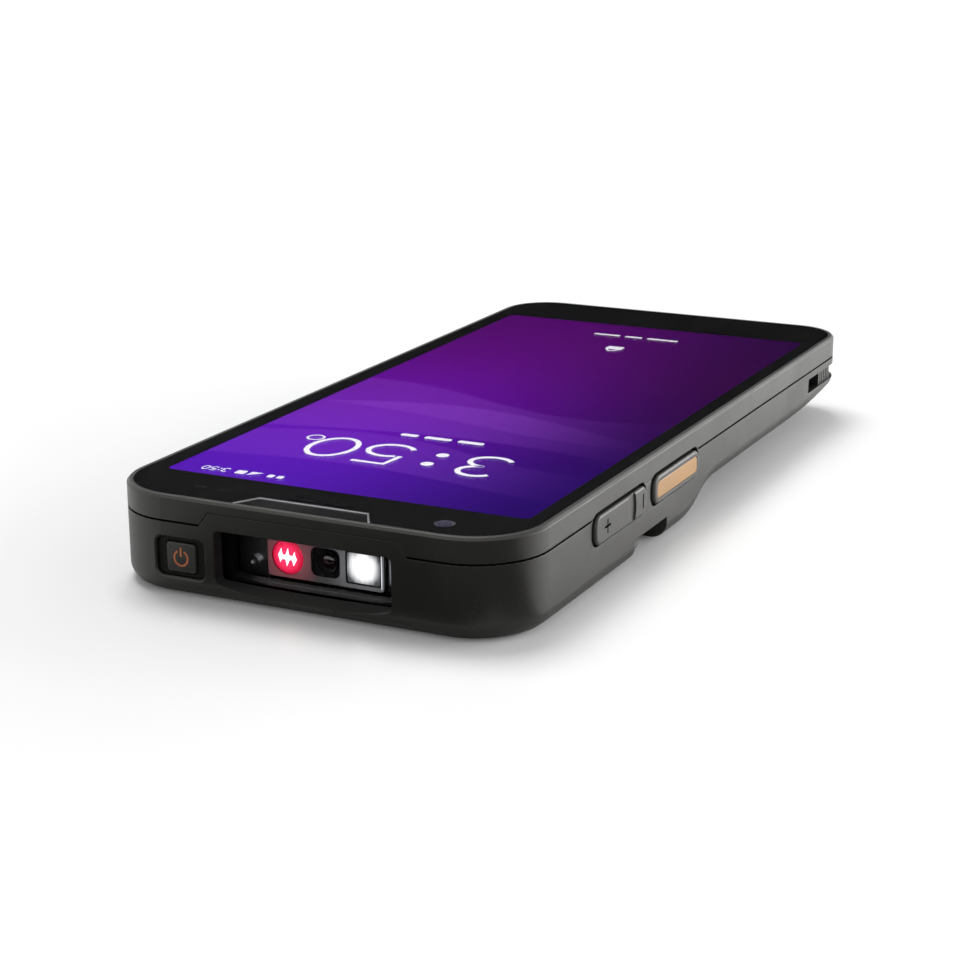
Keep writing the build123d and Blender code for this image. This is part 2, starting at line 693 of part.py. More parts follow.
# ---- cover glass ---------------------------------------------------------------------------------
with BuildPart() as cover_glass:
    extrude(body_outline(glass_rim + fit_gap, glass_seat), amount=glass_thickness)
    add(glass_notch, mode=Mode.SUBTRACT)
    with BuildSketch(Plane.XY.offset(glass_seat)):
        with Locations((0, receiver_y)):
            SlotOverall(receiver_slot[0], receiver_slot[1])
    extrude(amount=glass_thickness, mode=Mode.SUBTRACT)
save(cover_glass.part, "cover_glass")

# ---- earpiece plate, laid into the glass at the head ---------------------------------------------
with BuildPart() as earpiece_plate:
    add(trapezoid_plate(fit_gap, glass_seat, glass_thickness))
    add(trapezoid_plate(fit_gap + plate_lip, body_height - plate_sink, 1), mode=Mode.SUBTRACT)
save(earpiece_plate.part, "earpiece_plate")

with BuildPart() as receiver_mesh:
    with BuildSketch(Plane.XY.offset(glass_seat)):
        with Locations((0, receiver_y)):
            SlotOverall(receiver_slot[0] - fit_gap, receiver_slot[1] - fit_gap)
    extrude(amount=glass_thickness / 2)
save(receiver_mesh.part, "receiver_mesh")

with BuildPart() as receiver:
    block((-receiver_size[0] / 2, receiver_size[0] / 2),
          (receiver_y - receiver_size[1] / 2, receiver_y + receiver_size[1] / 2),
          (glass_seat - receiver_size[2], glass_seat))
    fillet(receiver.edges().filter_by(Axis.Z), 1.0)
save(receiver.part, "receiver")

with BuildPart() as front_camera:
    side = front_camera_side
    block((front_camera_at[0] - side / 2, front_camera_at[0] + side / 2),
          (front_camera_at[1] - side / 2, front_camera_at[1] + side / 2),
          (glass_seat - front_camera_depth, glass_seat - 0.5))
    fillet(front_camera.edges().filter_by(Axis.Z), 0.6)
    round_rod(*front_camera_at, (glass_seat - 0.5, glass_seat), front_lens_radius + 0.6)
    round_rod(*front_camera_at, (glass_seat - 1.2, glass_seat), front_lens_radius, mode=Mode.SUBTRACT)
save(front_camera.part, "front_camera")

with BuildPart() as front_lens:
    round_rod(*front_camera_at, (glass_seat - 1.2, glass_seat - 0.3), front_lens_radius - 0.05)
    fillet(front_lens.edges().group_by(Axis.Z)[-1], 0.3)
save(front_lens.part, "front_lens")

with BuildPart() as light_sensor:
    block(sensor_x, (receiver_y - sensor_size[1] / 2, receiver_y + sensor_size[1] / 2),
          (glass_seat - sensor_size[2], glass_seat))
    with Locations((sum(sensor_x) / 2, receiver_y, glass_seat)):
        with GridLocations(sensor_size[0] / 2, 0, 2, 1):
            Hole(sensor_size[1] / 3, sensor_size[2] / 4)
save(light_sensor.part, "light_sensor")

# ---- display on its chassis ----------------------------------------------------------------------
with BuildPart() as display_panel:
    block((-display_half, display_half), display_span, (display_seat, glass_seat))
    fillet(display_panel.edges().filter_by(Axis.Z), display_corner)
save(display_panel.part, "display_panel")

with BuildPart() as mid_chassis:
    extrude(body_outline(frame_wall + fit_gap, chassis_bottom), amount=chassis_thickness)
    block((-half_width, half_width), (half_length - chassis_head_margin, half_length),
          (chassis_bottom - 1, body_height), mode=Mode.SUBTRACT)
    for x, y in screw_spots:
        round_rod(x, y, (housing_boss_top + fit_gap, chassis_bottom), chassis_boss_radius)
        round_rod(x, y, (housing_boss_top, screw_tip_height + 2 * fit_gap),
                  screw_shank_radius + screw_seat_clearance, mode=Mode.SUBTRACT)
    # shallow pockets that lighten the plate between its ribs
    pitch_x = (2 * display_half - chassis_rib) / chassis_pocket_count[0]
    pitch_y = (display_span[1] - display_span[0] - chassis_rib) / chassis_pocket_count[1]
    with BuildSketch(Plane.XY.offset(display_seat)):
        with Locations((0, sum(display_span) / 2)):
            with GridLocations(pitch_x, pitch_y, *chassis_pocket_count):
                RectangleRounded(pitch_x - chassis_rib, pitch_y - chassis_rib, chassis_rib / 2)
    extrude(amount=-chassis_thickness / 3, mode=Mode.SUBTRACT)
save(mid_chassis.part, "mid_chassis")

# ---- scan window and engine ----------------------------------------------------------------------
pane_half = window_width / 2 + pane_lap
pane_middle = (scan_x, sum(pane_height) / 2)
pane_size = (2 * pane_half, pane_height[1] - pane_height[0])


def pane_ring(front, depth, opening):
    """A rounded ring behind the scan window, with a rectangular opening."""
    with BuildPart() as ring:
        with BuildSketch(Plane.XZ.offset(-front)):
            with Locations(pane_middle):
                RectangleRounded(pane_size[0], pane_size[1], pane_corner)
                RectangleRounded(opening[0], opening[1], pane_corner * 0.8, mode=Mode.SUBTRACT)
        extrude(amount=depth)
    return ring.part


seal_opening = (window_width + 2 * fit_gap, pane_size[1] - pane_lap)
window_seal = pane_ring(pane_front + pane_seal_thickness, pane_seal_thickness, seal_opening)
save(window_seal, "window_seal")

with BuildPart() as scan_window:
    with BuildSketch(Plane.XZ.offset(-pane_front)):
        with Locations(pane_middle):
            RectangleRounded(pane_size[0], pane_size[1], pane_corner)
    extrude(amount=pane_thickness)
save(scan_window.part, "scan_window")

baffle_opening = (pane_size[0] - 2 * baffle_wall, pane_size[1] - 2 * baffle_wall)
window_baffle = pane_ring(pane_back, pane_back - engine_face - fit_gap, baffle_opening)
save(window_baffle, "window_baffle")

engine_half = engine_size[0] / 2
lens_seat_gap = 0.05


def light_block(margin, y, mode=Mode.ADD):
    """The illumination light's rectangle at the engine, drawn in by a margin, over a depth."""
    middle = scan_x + light_offset
    reach_x = light_size[0] / 2 - margin
    reach_z = light_size[1] / 2 - margin
    block((middle - reach_x, middle + reach_x), y, (engine_mid_z - reach_z, engine_mid_z + reach_z), mode)


with BuildPart() as engine_body:
    lens_pit = (faceplate_back - lens_depth, faceplate_back)
    block((scan_x - engine_half, scan_x + engine_half), (engine_back, faceplate_back),
          (engine_z, engine_top))
    fillet(engine_body.edges().filter_by(Axis.Y), 0.5)
    rod_along_y(scan_x + aimer_offset, engine_mid_z, lens_pit, aimer_radius - lens_step,
                mode=Mode.SUBTRACT)
    rod_along_y(scan_x, engine_mid_z, lens_pit, imager_lens_radius + lens_step, mode=Mode.SUBTRACT)
    light_block(lens_step, lens_pit, mode=Mode.SUBTRACT)
save(engine_body.part, "engine_body")

with BuildPart() as engine_faceplate:
    with BuildSketch(Plane.XZ.offset(-engine_face)):
        with Locations((scan_x, engine_mid_z)):
            RectangleRounded(engine_size[0], engine_size[2], 0.6)
            with Locations((aimer_offset, 0)):
                Circle(aimer_radius, mode=Mode.SUBTRACT)
            RectangleRounded(imager_aperture[0], imager_aperture[1], 1.2, mode=Mode.SUBTRACT)
            with Locations((light_offset, 0)):
                Rectangle(light_size[0], light_size[1], mode=Mode.SUBTRACT)
    extrude(amount=faceplate_thickness)
save(engine_faceplate.part, "engine_faceplate")

with BuildPart() as aimer_lens:
    rod_along_y(scan_x + aimer_offset, engine_mid_z, (faceplate_back, engine_face),
                aimer_radius - lens_seat_gap)
    rod_along_y(scan_x + aimer_offset, engine_mid_z, lens_pit, aimer_radius - lens_step - lens_seat_gap)
    fillet(aimer_lens.edges().group_by(Axis.Y)[-1], 0.5)
save(aimer_lens.part, "aimer_lens")

with BuildPart() as imager_lens:
    rod_along_y(scan_x, engine_mid_z, lens_pit, imager_lens_radius + lens_step - lens_seat_gap)
    rod_along_y(scan_x, engine_mid_z, (faceplate_back, faceplate_back + 0.3), imager_lens_radius)
    fillet(imager_lens.edges().group_by(Axis.Y)[-1], 0.25)
save(imager_lens.part, "imager_lens")

with BuildPart() as light_lens:
    light_block(lens_seat_gap, (faceplate_back, engine_face))
    fillet(light_lens.edges().group_by(Axis.Y)[-1], 0.3)
    light_block(lens_step + lens_seat_gap, lens_pit)
save(light_lens.part, "illumination_lens")

with BuildPart() as engine_bracket:
    block((scan_x - engine_half, scan_x + engine_half), (engine_back, ear_front),
          (engine_z - bracket_thickness, engine_z))
    for side in both_sides:
        inner = scan_x + side * (engine_half + fit_gap)
        outer = inner + side * bracket_ear
        block(tuple(sorted((inner, outer))), (ear_front - bracket_thickness, ear_front),
              (engine_z - bracket_thickness, engine_top))
        block(tuple(sorted((scan_x + side * engine_half, inner + side * bracket_thickness))),
              (ear_front - bracket_thickness, ear_front), (engine_z - bracket_thickness, engine_z))
        rod_along_y(scan_x + side * ear_x, engine_screw_z,
                    (ear_front - bracket_thickness - 1, ear_front + 1),
                    engine_screw_radius + screw_clearance, mode=Mode.SUBTRACT)
save(engine_bracket.part, "engine_bracket")

with BuildPart() as engine_screws:
    for side in both_sides:
        centre = scan_x + side * ear_x
        rod_along_y(centre, engine_screw_z, (ear_front - bracket_thickness - engine_screw_length + fit_gap,
                                             ear_front), engine_screw_radius)
        rod_along_y(centre, engine_screw_z, (ear_front, ear_front + engine_screw_head[1]),
                    engine_screw_head[0])
        rod_along_y(centre, engine_screw_z, (ear_front + engine_screw_head[1] / 2,
                                             ear_front + engine_screw_head[1]),
                    engine_screw_drive_radius, mode=Mode.SUBTRACT)
save(engine_screws.part, "engine_screws")

# the engine's ribbon climbs from its back to the underside of the main board
flex_half = scan_flex_width / 2
with BuildPart() as scan_flex:
    with BuildSketch(Plane.YZ.offset(scan_x - flex_half)):
        with BuildLine():
            turn = board_y[1] + scan_flex_turn
            low = engine_mid_z
            Polyline(
                (engine_back, low),
                (turn, low),
                (turn, board_bottom),
                (board_y[1] - scan_flex_lap, board_bottom),
                (board_y[1] - scan_flex_lap, board_bottom - flex_thickness),
                (turn - flex_thickness, board_bottom - flex_thickness),
                (turn - flex_thickness, low - flex_thickness),
                (engine_back, low - flex_thickness),
                close=True,
            )
        make_face()
    extrude(amount=scan_flex_width)
save(scan_flex.part, "scan_flex")

# ---- power button in its seal, with the switch behind it -----------------------------------------
with BuildPart() as power_seal:
    with BuildSketch(Plane.XZ.offset(-half_length + power_recess_depth / 2)):
        with Locations(power_at):
            RectangleRounded(power_recess[0] - fit_gap, power_recess[1] - fit_gap, 1.15)
            RectangleRounded(power_cap[0] + 4 * fit_gap, power_cap[1] + 4 * fit_gap, 0.7,
                             mode=Mode.SUBTRACT)
    extrude(amount=power_recess_depth / 2)
save(power_seal.part, "power_button_seal")

with BuildPart() as power_button:
    with BuildSketch(Plane.XZ.offset(-half_length + power_cap_sink)):
        with Locations(power_at):
            RectangleRounded(power_cap[0], power_cap[1], 0.6)
    extrude(amount=half_length - power_cap_sink - power_back_y)
    fillet(power_button.edges().group_by(Axis.Y)[-1], 0.2)
    rod_along_y(power_at[0], power_at[1], (power_stem_end_y, power_back_y), button_stem_radius)
save(power_button.part, "power_button")

power_board_y = power_switch_y - switch_depth
with BuildPart() as power_switch:
    half = switch_side / 2
    plunger_foot = power_switch_y - switch_plunger[1]
    block((power_at[0] - half, power_at[0] + half), (power_board_y, plunger_foot),
          (power_at[1] - half, power_at[1] + half))
    rod_along_y(power_at[0], power_at[1], (plunger_foot, power_switch_y), switch_plunger[0])
    block((power_at[0] - switch_side, power_at[0] + switch_side),
          (power_board_y - key_board_thickness, power_board_y), (wall, power_at[1] + switch_side))
save(power_switch.part, "power_switch_board")


# ---- side keys -----------------------------------------------------------------------------------
def key_cap(side, span, corner):
    """A side key: a rounded cap, proud of the wall, with its stems reaching in to the switches."""
    outward = Plane((side * key_back_x, sum(span) / 2, key_mid_z), x_dir=(0, side, 0), z_dir=(side, 0, 0))
    with BuildPart() as cap:
        with BuildSketch(outward):
            RectangleRounded(span[1] - span[0], key_top - key_bottom, corner)
        extrude(amount=key_face_x - key_back_x)
        outer_face = cap.faces().sort_by(Axis.X)[0 if side < 0 else -1]
        fillet(outer_face.edges(), key_round)
        for y in stem_places[side]:
            if span[0] < y < span[1]:
                rod_along_x(y, key_mid_z, side_span(side, stem_end_x, key_back_x), button_stem_radius)
    return cap.part


for side, word in ((-1, "left"), (1, "right")):
    key_length = scan_key_y[1] - scan_key_y[0]
    pad_size = (key_length - 2 * scan_pad_margin[0], key_top - key_bottom - 2 * scan_pad_margin[1])
    pad_plane = Plane((side * (key_face_x - scan_pad_depth), sum(scan_key_y) / 2, key_mid_z),
                      x_dir=(0, side, 0), z_dir=(side, 0, 0))
    pad_seat = rounded_slab(pad_plane, (pad_size[0] + fit_gap, pad_size[1] + fit_gap),
                            scan_pad_corner + fit_gap / 2, 2)
    blank = key_cap(side, scan_key_y, scan_key_corner)
    with BuildPart() as scan_key:
        add(blank)
        add(pad_seat, mode=Mode.SUBTRACT)
    save(scan_key.part, f"{word}_scan_key")

    pad = rounded_slab(pad_plane, pad_size, scan_pad_corner, scan_pad_depth)
    with BuildPart() as scan_key_pad:
        add(pad)
        fillet(scan_key_pad.faces().sort_by(Axis.X)[0 if side < 0 else -1].edges(), 0.15)
    save(scan_key_pad.part, f"{word}_scan_key_pad")

    # the seals line the pocket floors, and the stems pass through them
    with BuildPart() as key_seal:
        for pocket in key_pockets[side]:
            add(pocket_slab(side, pocket, fit_gap, key_seal_thickness))
        for y in stem_places[side]:
            rod_along_x(y, key_mid_z, side_span(side, pocket_floor_x - 1, seal_face_x + 1),
                        button_stem_radius + stem_clearance, mode=Mode.SUBTRACT)
    save(key_seal.part, f"{word}_key_seal")

    # one board behind the flap carries a switch for each stem
    with BuildPart() as key_board:
        block(side_span(side, key_board_x - key_board_thickness, key_board_x),
              (flap_spans[side][0], flap_spans[side][1]), (key_band_bottom, board_top))
    save(key_board.part, f"{word}_key_board")

    with BuildPart() as key_switches:
        for y in stem_places[side]:
            block(side_span(side, key_board_x, switch_face_x - switch_plunger[1]),
                  (y - switch_side / 2, y + switch_side / 2),
                  (key_mid_z - switch_side / 2, key_mid_z + switch_side / 2))
            rod_along_x(y, key_mid_z, side_span(side, switch_face_x - switch_plunger[1], switch_face_x),
                        switch_plunger[0])
    save(key_switches.part, f"{word}_key_switches")

# the volume rocker tips about a round rib at its middle; its face has a scoop and two sunk marks
volume_mid = sum(volume_y) / 2
rocker_face = -key_face_x
scoop_foot = volume_y[0] + volume_scoop_inset
with BuildPart() as scoop:
    with BuildSketch(Plane.XY.offset(key_bottom)):
        with BuildLine():
            Polyline(
                (rocker_face - 1, scoop_foot),
                (rocker_face + volume_scoop_depth, scoop_foot),
                (rocker_face, scoop_foot + volume_scoop_length),
                (rocker_face - 1, scoop_foot + volume_scoop_length),
                close=True,
            )
        make_face()
    extrude(amount=key_top - key_bottom)
    rod_along_x(scoop_foot + volume_scoop_radius, key_mid_z, (rocker_face - 1, rocker_face + 1),
                volume_scoop_radius, mode=Mode.INTERSECT)

rocker_blank = key_cap(-1, volume_y, volume_corner)
mark_span = (rocker_face - 1, rocker_face + mark_depth)
plus_y = volume_y[1] - plus_inset
minus_y = volume_y[0] + minus_inset
with BuildPart() as volume_rocker:
    add(rocker_blank)
    add(scoop.part, mode=Mode.SUBTRACT)
    round_rod(-key_back_x, volume_mid, (key_bottom + 2 * key_round, key_top - 2 * key_round), key_travel)
    for y in (plus_y, minus_y):
        block(mark_span, (y - mark_width / 2, y + mark_width / 2),
              (key_mid_z - mark_length / 2, key_mid_z + mark_length / 2), mode=Mode.SUBTRACT)
    block(mark_span, (plus_y - mark_length / 2, plus_y + mark_length / 2),
          (key_mid_z - mark_width / 2, key_mid_z + mark_width / 2), mode=Mode.SUBTRACT)
save(volume_rocker.part, "volume_rocker")

# ---- strap pins and lanyard post -----------------------------------------------------------------
with BuildPart() as strap_pins:
    for side in both_sides:
        rod_along_x(accessory_y[1] - accessory_pin_inset, accessory_pin_z,
                    side_span(side, half_width - accessory_depth - accessory_wall,
                              half_width - accessory_pin_sink),
                    accessory_pin_radius)
save(strap_pins.part, "strap_pins")

post_inner = half_width - lanyard_depth
with BuildPart() as lanyard_post:
    block((-half_width + lanyard_post_sink, -post_inner), lanyard_post_y, lanyard_z)
    rib_pitch = (lanyard_post_y[1] - lanyard_post_y[0]) / lanyard_rib_count
    for index in range(lanyard_rib_count - 1):
        y = lanyard_post_y[0] + (index + 1) * rib_pitch
        block((-half_width, -half_width + lanyard_post_sink + lanyard_rib_depth),
              (y - rib_pitch / 6, y + rib_pitch / 6),
              (lanyard_z[0] - 1, lanyard_z[1] + 1), mode=Mode.SUBTRACT)
save(lanyard_post.part, "lanyard_post")

# ---- battery pack, with its cover as the grip's underside ----------------------------------------
cover_half = bay_half_width - cover_gap
cover_span = (bay_y[0] + cover_gap, bay_y[1] - cover_gap)
with BuildPart() as battery_cover:
    add(outer_casing)
    with BuildSketch(Plane.XY.offset(-1)):
        with Locations((0, sum(cover_span) / 2)):
            Rectangle(2 * cover_half, cover_span[1] - cover_span[0])
    extrude(amount=1 + cover_top, mode=Mode.INTERSECT)
    fillet(battery_cover.edges().filter_by(Axis.Z), cover_corner)
    block((-thumb_half_width - latch_gap, thumb_half_width + latch_gap),
          (thumb_y[0] - latch_travel - latch_gap, thumb_y[1] + latch_gap), (0, cover_top + 1),
          mode=Mode.SUBTRACT)
save(battery_cover.part, "battery_cover")

cell_half = bay_half_width - cell_gap
with BuildPart() as battery_cell:
    block((-cell_half, cell_half), cell_y, (cover_top, cell_top))
    fillet(battery_cell.edges().filter_by(Axis.Y), cell_round)
save(battery_cell.part, "battery_cell")

seal_half = bay_half_width - bay_seal_gap
with BuildPart() as battery_seal:
    with BuildSketch(Plane.XY.offset(cover_top)):
        seal_span = (cell_y[0] - bay_seal_lap, bay_y[1] - bay_seal_gap - fit_gap)
        length = seal_span[1] - seal_span[0]
        with Locations((0, sum(seal_span) / 2)):
            RectangleRounded(2 * seal_half, length, bay_seal_width)
            Rectangle(2 * (seal_half - bay_seal_width), length - 2 * bay_seal_width, mode=Mode.SUBTRACT)
    extrude(amount=bay_seal_height)
save(battery_seal.part, "battery_seal")

with BuildPart() as battery_pads:
    with Locations(*((x, connector_y, cell_top + contact_pad[2] / 2) for x in contact_x)):
        Box(*contact_pad)
save(battery_pads.part, "battery_contact_pads")

with BuildPart() as battery_latch:
    block((-latch_half_width, latch_half_width), latch_y, (cover_top, cover_top + latch_height))
    thumb_level = underside_level(thumb_y[0]) + fit_gap
    rib_pitch = 2 * thumb_half_width / thumb_ribs
    block((-thumb_half_width, thumb_half_width), thumb_y, (thumb_level, cover_top))
    for index in range(thumb_ribs):
        x = (index + 0.5) * rib_pitch - thumb_half_width
        block((x - rib_pitch / 8, x + rib_pitch / 8), thumb_y, (thumb_level, thumb_level + latch_gap),
              mode=Mode.SUBTRACT)
save(battery_latch.part, "battery_latch")

with BuildPart() as battery_connector:
    pins_bottom = cell_top + contact_pad[2] + connector_gap
    body_bottom = pins_bottom + spring_pin[2]
    block((-connector_half_width, connector_half_width),
          (connector_y - connector_length / 2, connector_y + connector_length / 2),
          (body_bottom, board_bottom))
    for x in contact_x:
        block((x - spring_pin[0] / 2, x + spring_pin[0] / 2),
              (connector_y - spring_pin[1] / 2, connector_y + spring_pin[1] / 2),
              (pins_bottom, body_bottom))
save(battery_connector.part, "battery_connector")

# ---- boards and what they carry ------------------------------------------------------------------
with BuildPart() as main_board:
    block((-board_half_width, board_half_width), board_y, (board_bottom, board_top))
    fillet(main_board.edges().filter_by(Axis.Z), board_corner)
save(main_board.part, "main_board")

with BuildPart() as shield_cans:
    for x, from_head, width, length in can_places:
        y = board_y[1] - from_head
        block((x - width / 2, x + width / 2), (y - length / 2, y + length / 2),
              (board_bottom - can_height, board_bottom))
        block((x - width / 2 + can_wall, x + width / 2 - can_wall),
              (y - length / 2 + can_wall, y + length / 2 - can_wall),
              (board_bottom - can_height + can_wall, board_bottom), mode=Mode.SUBTRACT)
save(shield_cans.part, "shield_cans")

with BuildPart() as board_chips:
    for x, from_head, width, length in chip_places:
        y = board_y[1] - from_head
        block((x - width / 2, x + width / 2), (y - length / 2, y + length / 2),
              (board_top, board_top + chip_height))
save(board_chips.part, "board_chips")

with BuildPart() as card_socket:
    half_x, half_y = (card_socket_size[0] / 2, card_socket_size[1] / 2)
    x, y = (card_socket_place[0], board_y[1] - card_socket_place[1])
    block((x - half_x, x + half_x), (y - half_y, y + half_y), (board_top, board_top + card_socket_size[2]))
    block((x - half_x + card_socket_cheek, x + half_x - card_socket_cheek),
          (y - half_y - 1, y + half_y - card_socket_cheek),
          (board_top + card_socket_wall, board_top + card_socket_size[2] - card_socket_wall),
          mode=Mode.SUBTRACT)
save(card_socket.part, "card_socket")

lower_board_top = lower_board_z + board_thickness
with BuildPart() as lower_board:
    block((-lower_board_half_width, lower_board_half_width), lower_board_y,
          (lower_board_z, lower_board_top))
save(lower_board.part, "lower_board")

usb_span_y = (-half_length + usb_sink, -half_length + usb_sink + usb_length)
with BuildPart() as usb_port:
    with BuildSketch(Plane.XZ.offset(-usb_span_y[0])):
        with Locations((0, lower_board_top + usb_height / 2)):
            SlotOverall(2 * usb_half_width, usb_height)
            SlotOverall(2 * (usb_half_width - usb_wall), usb_height - 2 * usb_wall, mode=Mode.SUBTRACT)
    extrude(amount=-usb_length)
    with BuildSketch(Plane.XZ.offset(-usb_span_y[1])):
        with Locations((0, lower_board_top + usb_height / 2)):
            SlotOverall(2 * usb_half_width, usb_height)
    extrude(amount=usb_back)
    tongue_z = lower_board_top + usb_height / 2
    block((-usb_half_width + usb_height / 2, usb_half_width - usb_height / 2),
          (usb_span_y[0] + usb_back, usb_span_y[1]), (tongue_z - usb_tongue / 2, tongue_z + usb_tongue / 2))
save(usb_port.part, "usb_port")

with BuildPart() as link_flex:
    with BuildSketch(Plane.YZ.offset(-link_flex_half_width)):
        with BuildLine():
            rise = bay_y[0] - bay_wall - link_flex_gap
            Polyline(
                (rise - link_flex_lap, lower_board_top),
                (rise + flex_thickness, lower_board_top),
                (rise + flex_thickness, board_top),
                (board_y[0] + link_flex_reach, board_top),
                (board_y[0] + link_flex_reach, board_top + flex_thickness),
                (rise, board_top + flex_thickness),
                (rise, lower_board_top + flex_thickness),
                (rise - link_flex_lap, lower_board_top + flex_thickness),
                close=True,
            )
        make_face()
    extrude(amount=2 * link_flex_half_width)
save(link_flex.part, "link_flex")

with BuildPart() as dock_contacts:
    for x in dock_contact_x:
        round_rod(x, dock_contact_y, (underside_level(dock_contact_y) + fit_gap, lower_board_z),
                  dock_contact_radius)
save(dock_contacts.part, "dock_contacts")

# ---- loudspeaker, rear camera and vibration motor on the head's floor ----------------------------
with BuildPart() as loudspeaker:
    x, y = speaker_at
    block((x - speaker_size[0] / 2, x + speaker_size[0] / 2), (y - speaker_size[1] / 2,
          y + speaker_size[1] / 2), (wall, wall + speaker_size[2]))
    fillet(loudspeaker.edges().filter_by(Axis.Z), 1.5)
save(loudspeaker.part, "loudspeaker")

with BuildPart() as rear_camera:
    x, y = rear_camera_at
    half = rear_camera_side / 2
    block((x - half, x + half), (y - half, y + half), (wall, wall + rear_camera_depth))
    fillet(rear_camera.edges().filter_by(Axis.Z), 0.8)
    round_rod(x, y, (rear_window_sink + rear_window_thickness + fit_gap, wall),
              rear_lens_hole_radius - 2 * fit_gap)
save(rear_camera.part, "rear_camera")

with BuildPart() as rear_camera_window:
    round_rod(*rear_camera_at, (rear_window_sink, rear_window_sink + rear_window_thickness),
              rear_window_radius)
save(rear_camera_window.part, "rear_camera_window")

with BuildPart() as flash_lens:
    round_rod(*flash_at, (rear_window_sink, wall), flash_radius)
    round_rod(*flash_at, (wall, wall + flash_flange[1]), flash_radius + flash_flange[0])
save(flash_lens.part, "flash_lens")

with BuildPart() as vibration_motor:
    round_rod(*motor_at, (wall, wall + motor_height), motor_radius)
    fillet(vibration_motor.edges().group_by(Axis.Z)[-1], 0.4)
save(vibration_motor.part, "vibration_motor")

# ---- housing screws ------------------------------------------------------------------------------
with BuildPart() as housing_screws:
    for x, y in screw_spots:
        head_bottom = underside_level(y) + screw_head_sink
        seat = head_bottom + screw_head_height
        round_rod(x, y, (head_bottom, seat), screw_head_radius)
        round_rod(x, y, (seat, screw_tip_height), screw_shank_radius)
        block((x - drive_recess_width / 2, x + drive_recess_width / 2),
              (y - drive_recess_width / 2, y + drive_recess_width / 2),
              (head_bottom, head_bottom + drive_recess_depth), mode=Mode.SUBTRACT)
save(housing_screws.part, "housing_screws")
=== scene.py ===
# %% [markdown]
# # A handheld barcode terminal, dressed over its solid model
#
# The real object is a slim computer with a large touch screen. At one end the casing is thicker:
# that is the scan head, with a window that faces forward over a small bar-code camera and its lights.
#
# The solid model already has every moulded shape at its true size. This notebook adds what a solid
# model can't hold: the lit picture behind the glass, printed marks, tiny lens details, and a finish for
# each material. A new mesh is only made where the solid would be too plain.

# %% Load the solid model as a fixed frame
import json
import math

import bmesh
import bpy
from mathutils import Matrix, Vector


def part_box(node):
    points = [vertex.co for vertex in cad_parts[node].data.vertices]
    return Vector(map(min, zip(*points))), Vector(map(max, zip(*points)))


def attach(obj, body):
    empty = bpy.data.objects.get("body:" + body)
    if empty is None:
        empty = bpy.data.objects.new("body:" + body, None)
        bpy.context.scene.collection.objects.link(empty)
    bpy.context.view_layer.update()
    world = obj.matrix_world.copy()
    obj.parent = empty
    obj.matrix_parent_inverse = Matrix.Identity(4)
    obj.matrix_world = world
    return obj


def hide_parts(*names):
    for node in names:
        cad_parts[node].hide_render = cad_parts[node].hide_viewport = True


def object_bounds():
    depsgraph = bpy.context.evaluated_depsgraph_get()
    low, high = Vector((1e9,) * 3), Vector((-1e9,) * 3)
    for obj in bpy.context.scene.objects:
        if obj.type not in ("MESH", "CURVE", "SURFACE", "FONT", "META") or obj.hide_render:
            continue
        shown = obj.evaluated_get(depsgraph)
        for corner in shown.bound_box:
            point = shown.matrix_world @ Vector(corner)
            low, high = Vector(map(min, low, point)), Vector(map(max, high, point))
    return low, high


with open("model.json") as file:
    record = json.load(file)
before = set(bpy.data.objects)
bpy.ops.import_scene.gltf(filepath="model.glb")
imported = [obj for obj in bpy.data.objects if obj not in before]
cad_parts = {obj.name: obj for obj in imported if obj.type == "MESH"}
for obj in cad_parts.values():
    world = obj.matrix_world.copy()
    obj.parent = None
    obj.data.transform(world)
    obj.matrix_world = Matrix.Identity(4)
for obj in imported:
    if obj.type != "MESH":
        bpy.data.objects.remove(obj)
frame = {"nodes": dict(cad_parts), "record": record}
cad_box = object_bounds()
solids = frame["nodes"]
mm = 0.001
size_mm = [round((high - low) / mm, 2) for low, high in zip(*cad_box)]
print(len(solids), "solid pieces; the whole body is", size_mm, "mm")

# %% [markdown]
# ## The camera
#
# The camera stands a little left of the scan head and looks down at about 16 degrees. A long lens keeps
# the edges nearly parallel, as in a product picture. The direction is written as two angles and a small
# roll, because those are the numbers a photographer would change.

# %% Aim the camera
scene = bpy.context.scene
camera = bpy.data.objects.new("studio_camera", bpy.data.cameras.new("studio_camera"))
scene.collection.objects.link(camera)
scene.camera = camera
camera.data.sensor_width = 36
camera.data.lens = 81.15
camera.data.clip_start, camera.data.clip_end = 0.01, 20
azimuth, elevation, roll = (math.radians(angle) for angle in (206.397, 16.47, -0.348))
look_at = Vector((-4.14, 26.05, 8.0)) * mm
back = Vector((math.sin(azimuth) * math.cos(elevation), -math.cos(azimuth) * math.cos(elevation),
               math.sin(elevation)))
level_right = (-back).cross(Vector((0, 0, 1))).normalized()
level_up = level_right.cross(-back)
right = level_right * math.cos(roll) + level_up * math.sin(roll)
up = right.cross(-back)
distance = 0.3883
turn = Matrix((right, up, back)).transposed().to_4x4()
camera.matrix_world = Matrix.Translation(look_at + back * distance) @ turn
print("the camera is at", [round(value, 3) for value in camera.matrix_world.translation])

# %% [markdown]
# ## Small helpers for shader nodes
#
# A material in Blender is a tree of nodes. Writing every node on five lines hides what the tree does,
# so a few helpers do the wiring: one fills inputs, one places a node, one does arithmetic, one mixes two
# colours. A value that is a socket is linked, and any other value is typed into the node.

# %% Wire shader nodes
def fill(tree, node, inputs):
    """Fills a node's inputs with values, or with links where the value is a socket."""
    for name, value in inputs.items():
        if isinstance(value, bpy.types.NodeSocket):
            tree.links.new(value, node.inputs[name])
        else:
            node.inputs[name].default_value = value


def add_node(tree, kind, inputs=None, **settings):
    """Places one shader node with its settings and inputs."""
    made = tree.nodes.new("ShaderNode" + kind)
    for name, value in settings.items():
        setattr(made, name, value)
    fill(tree, made, inputs or {})
    return made


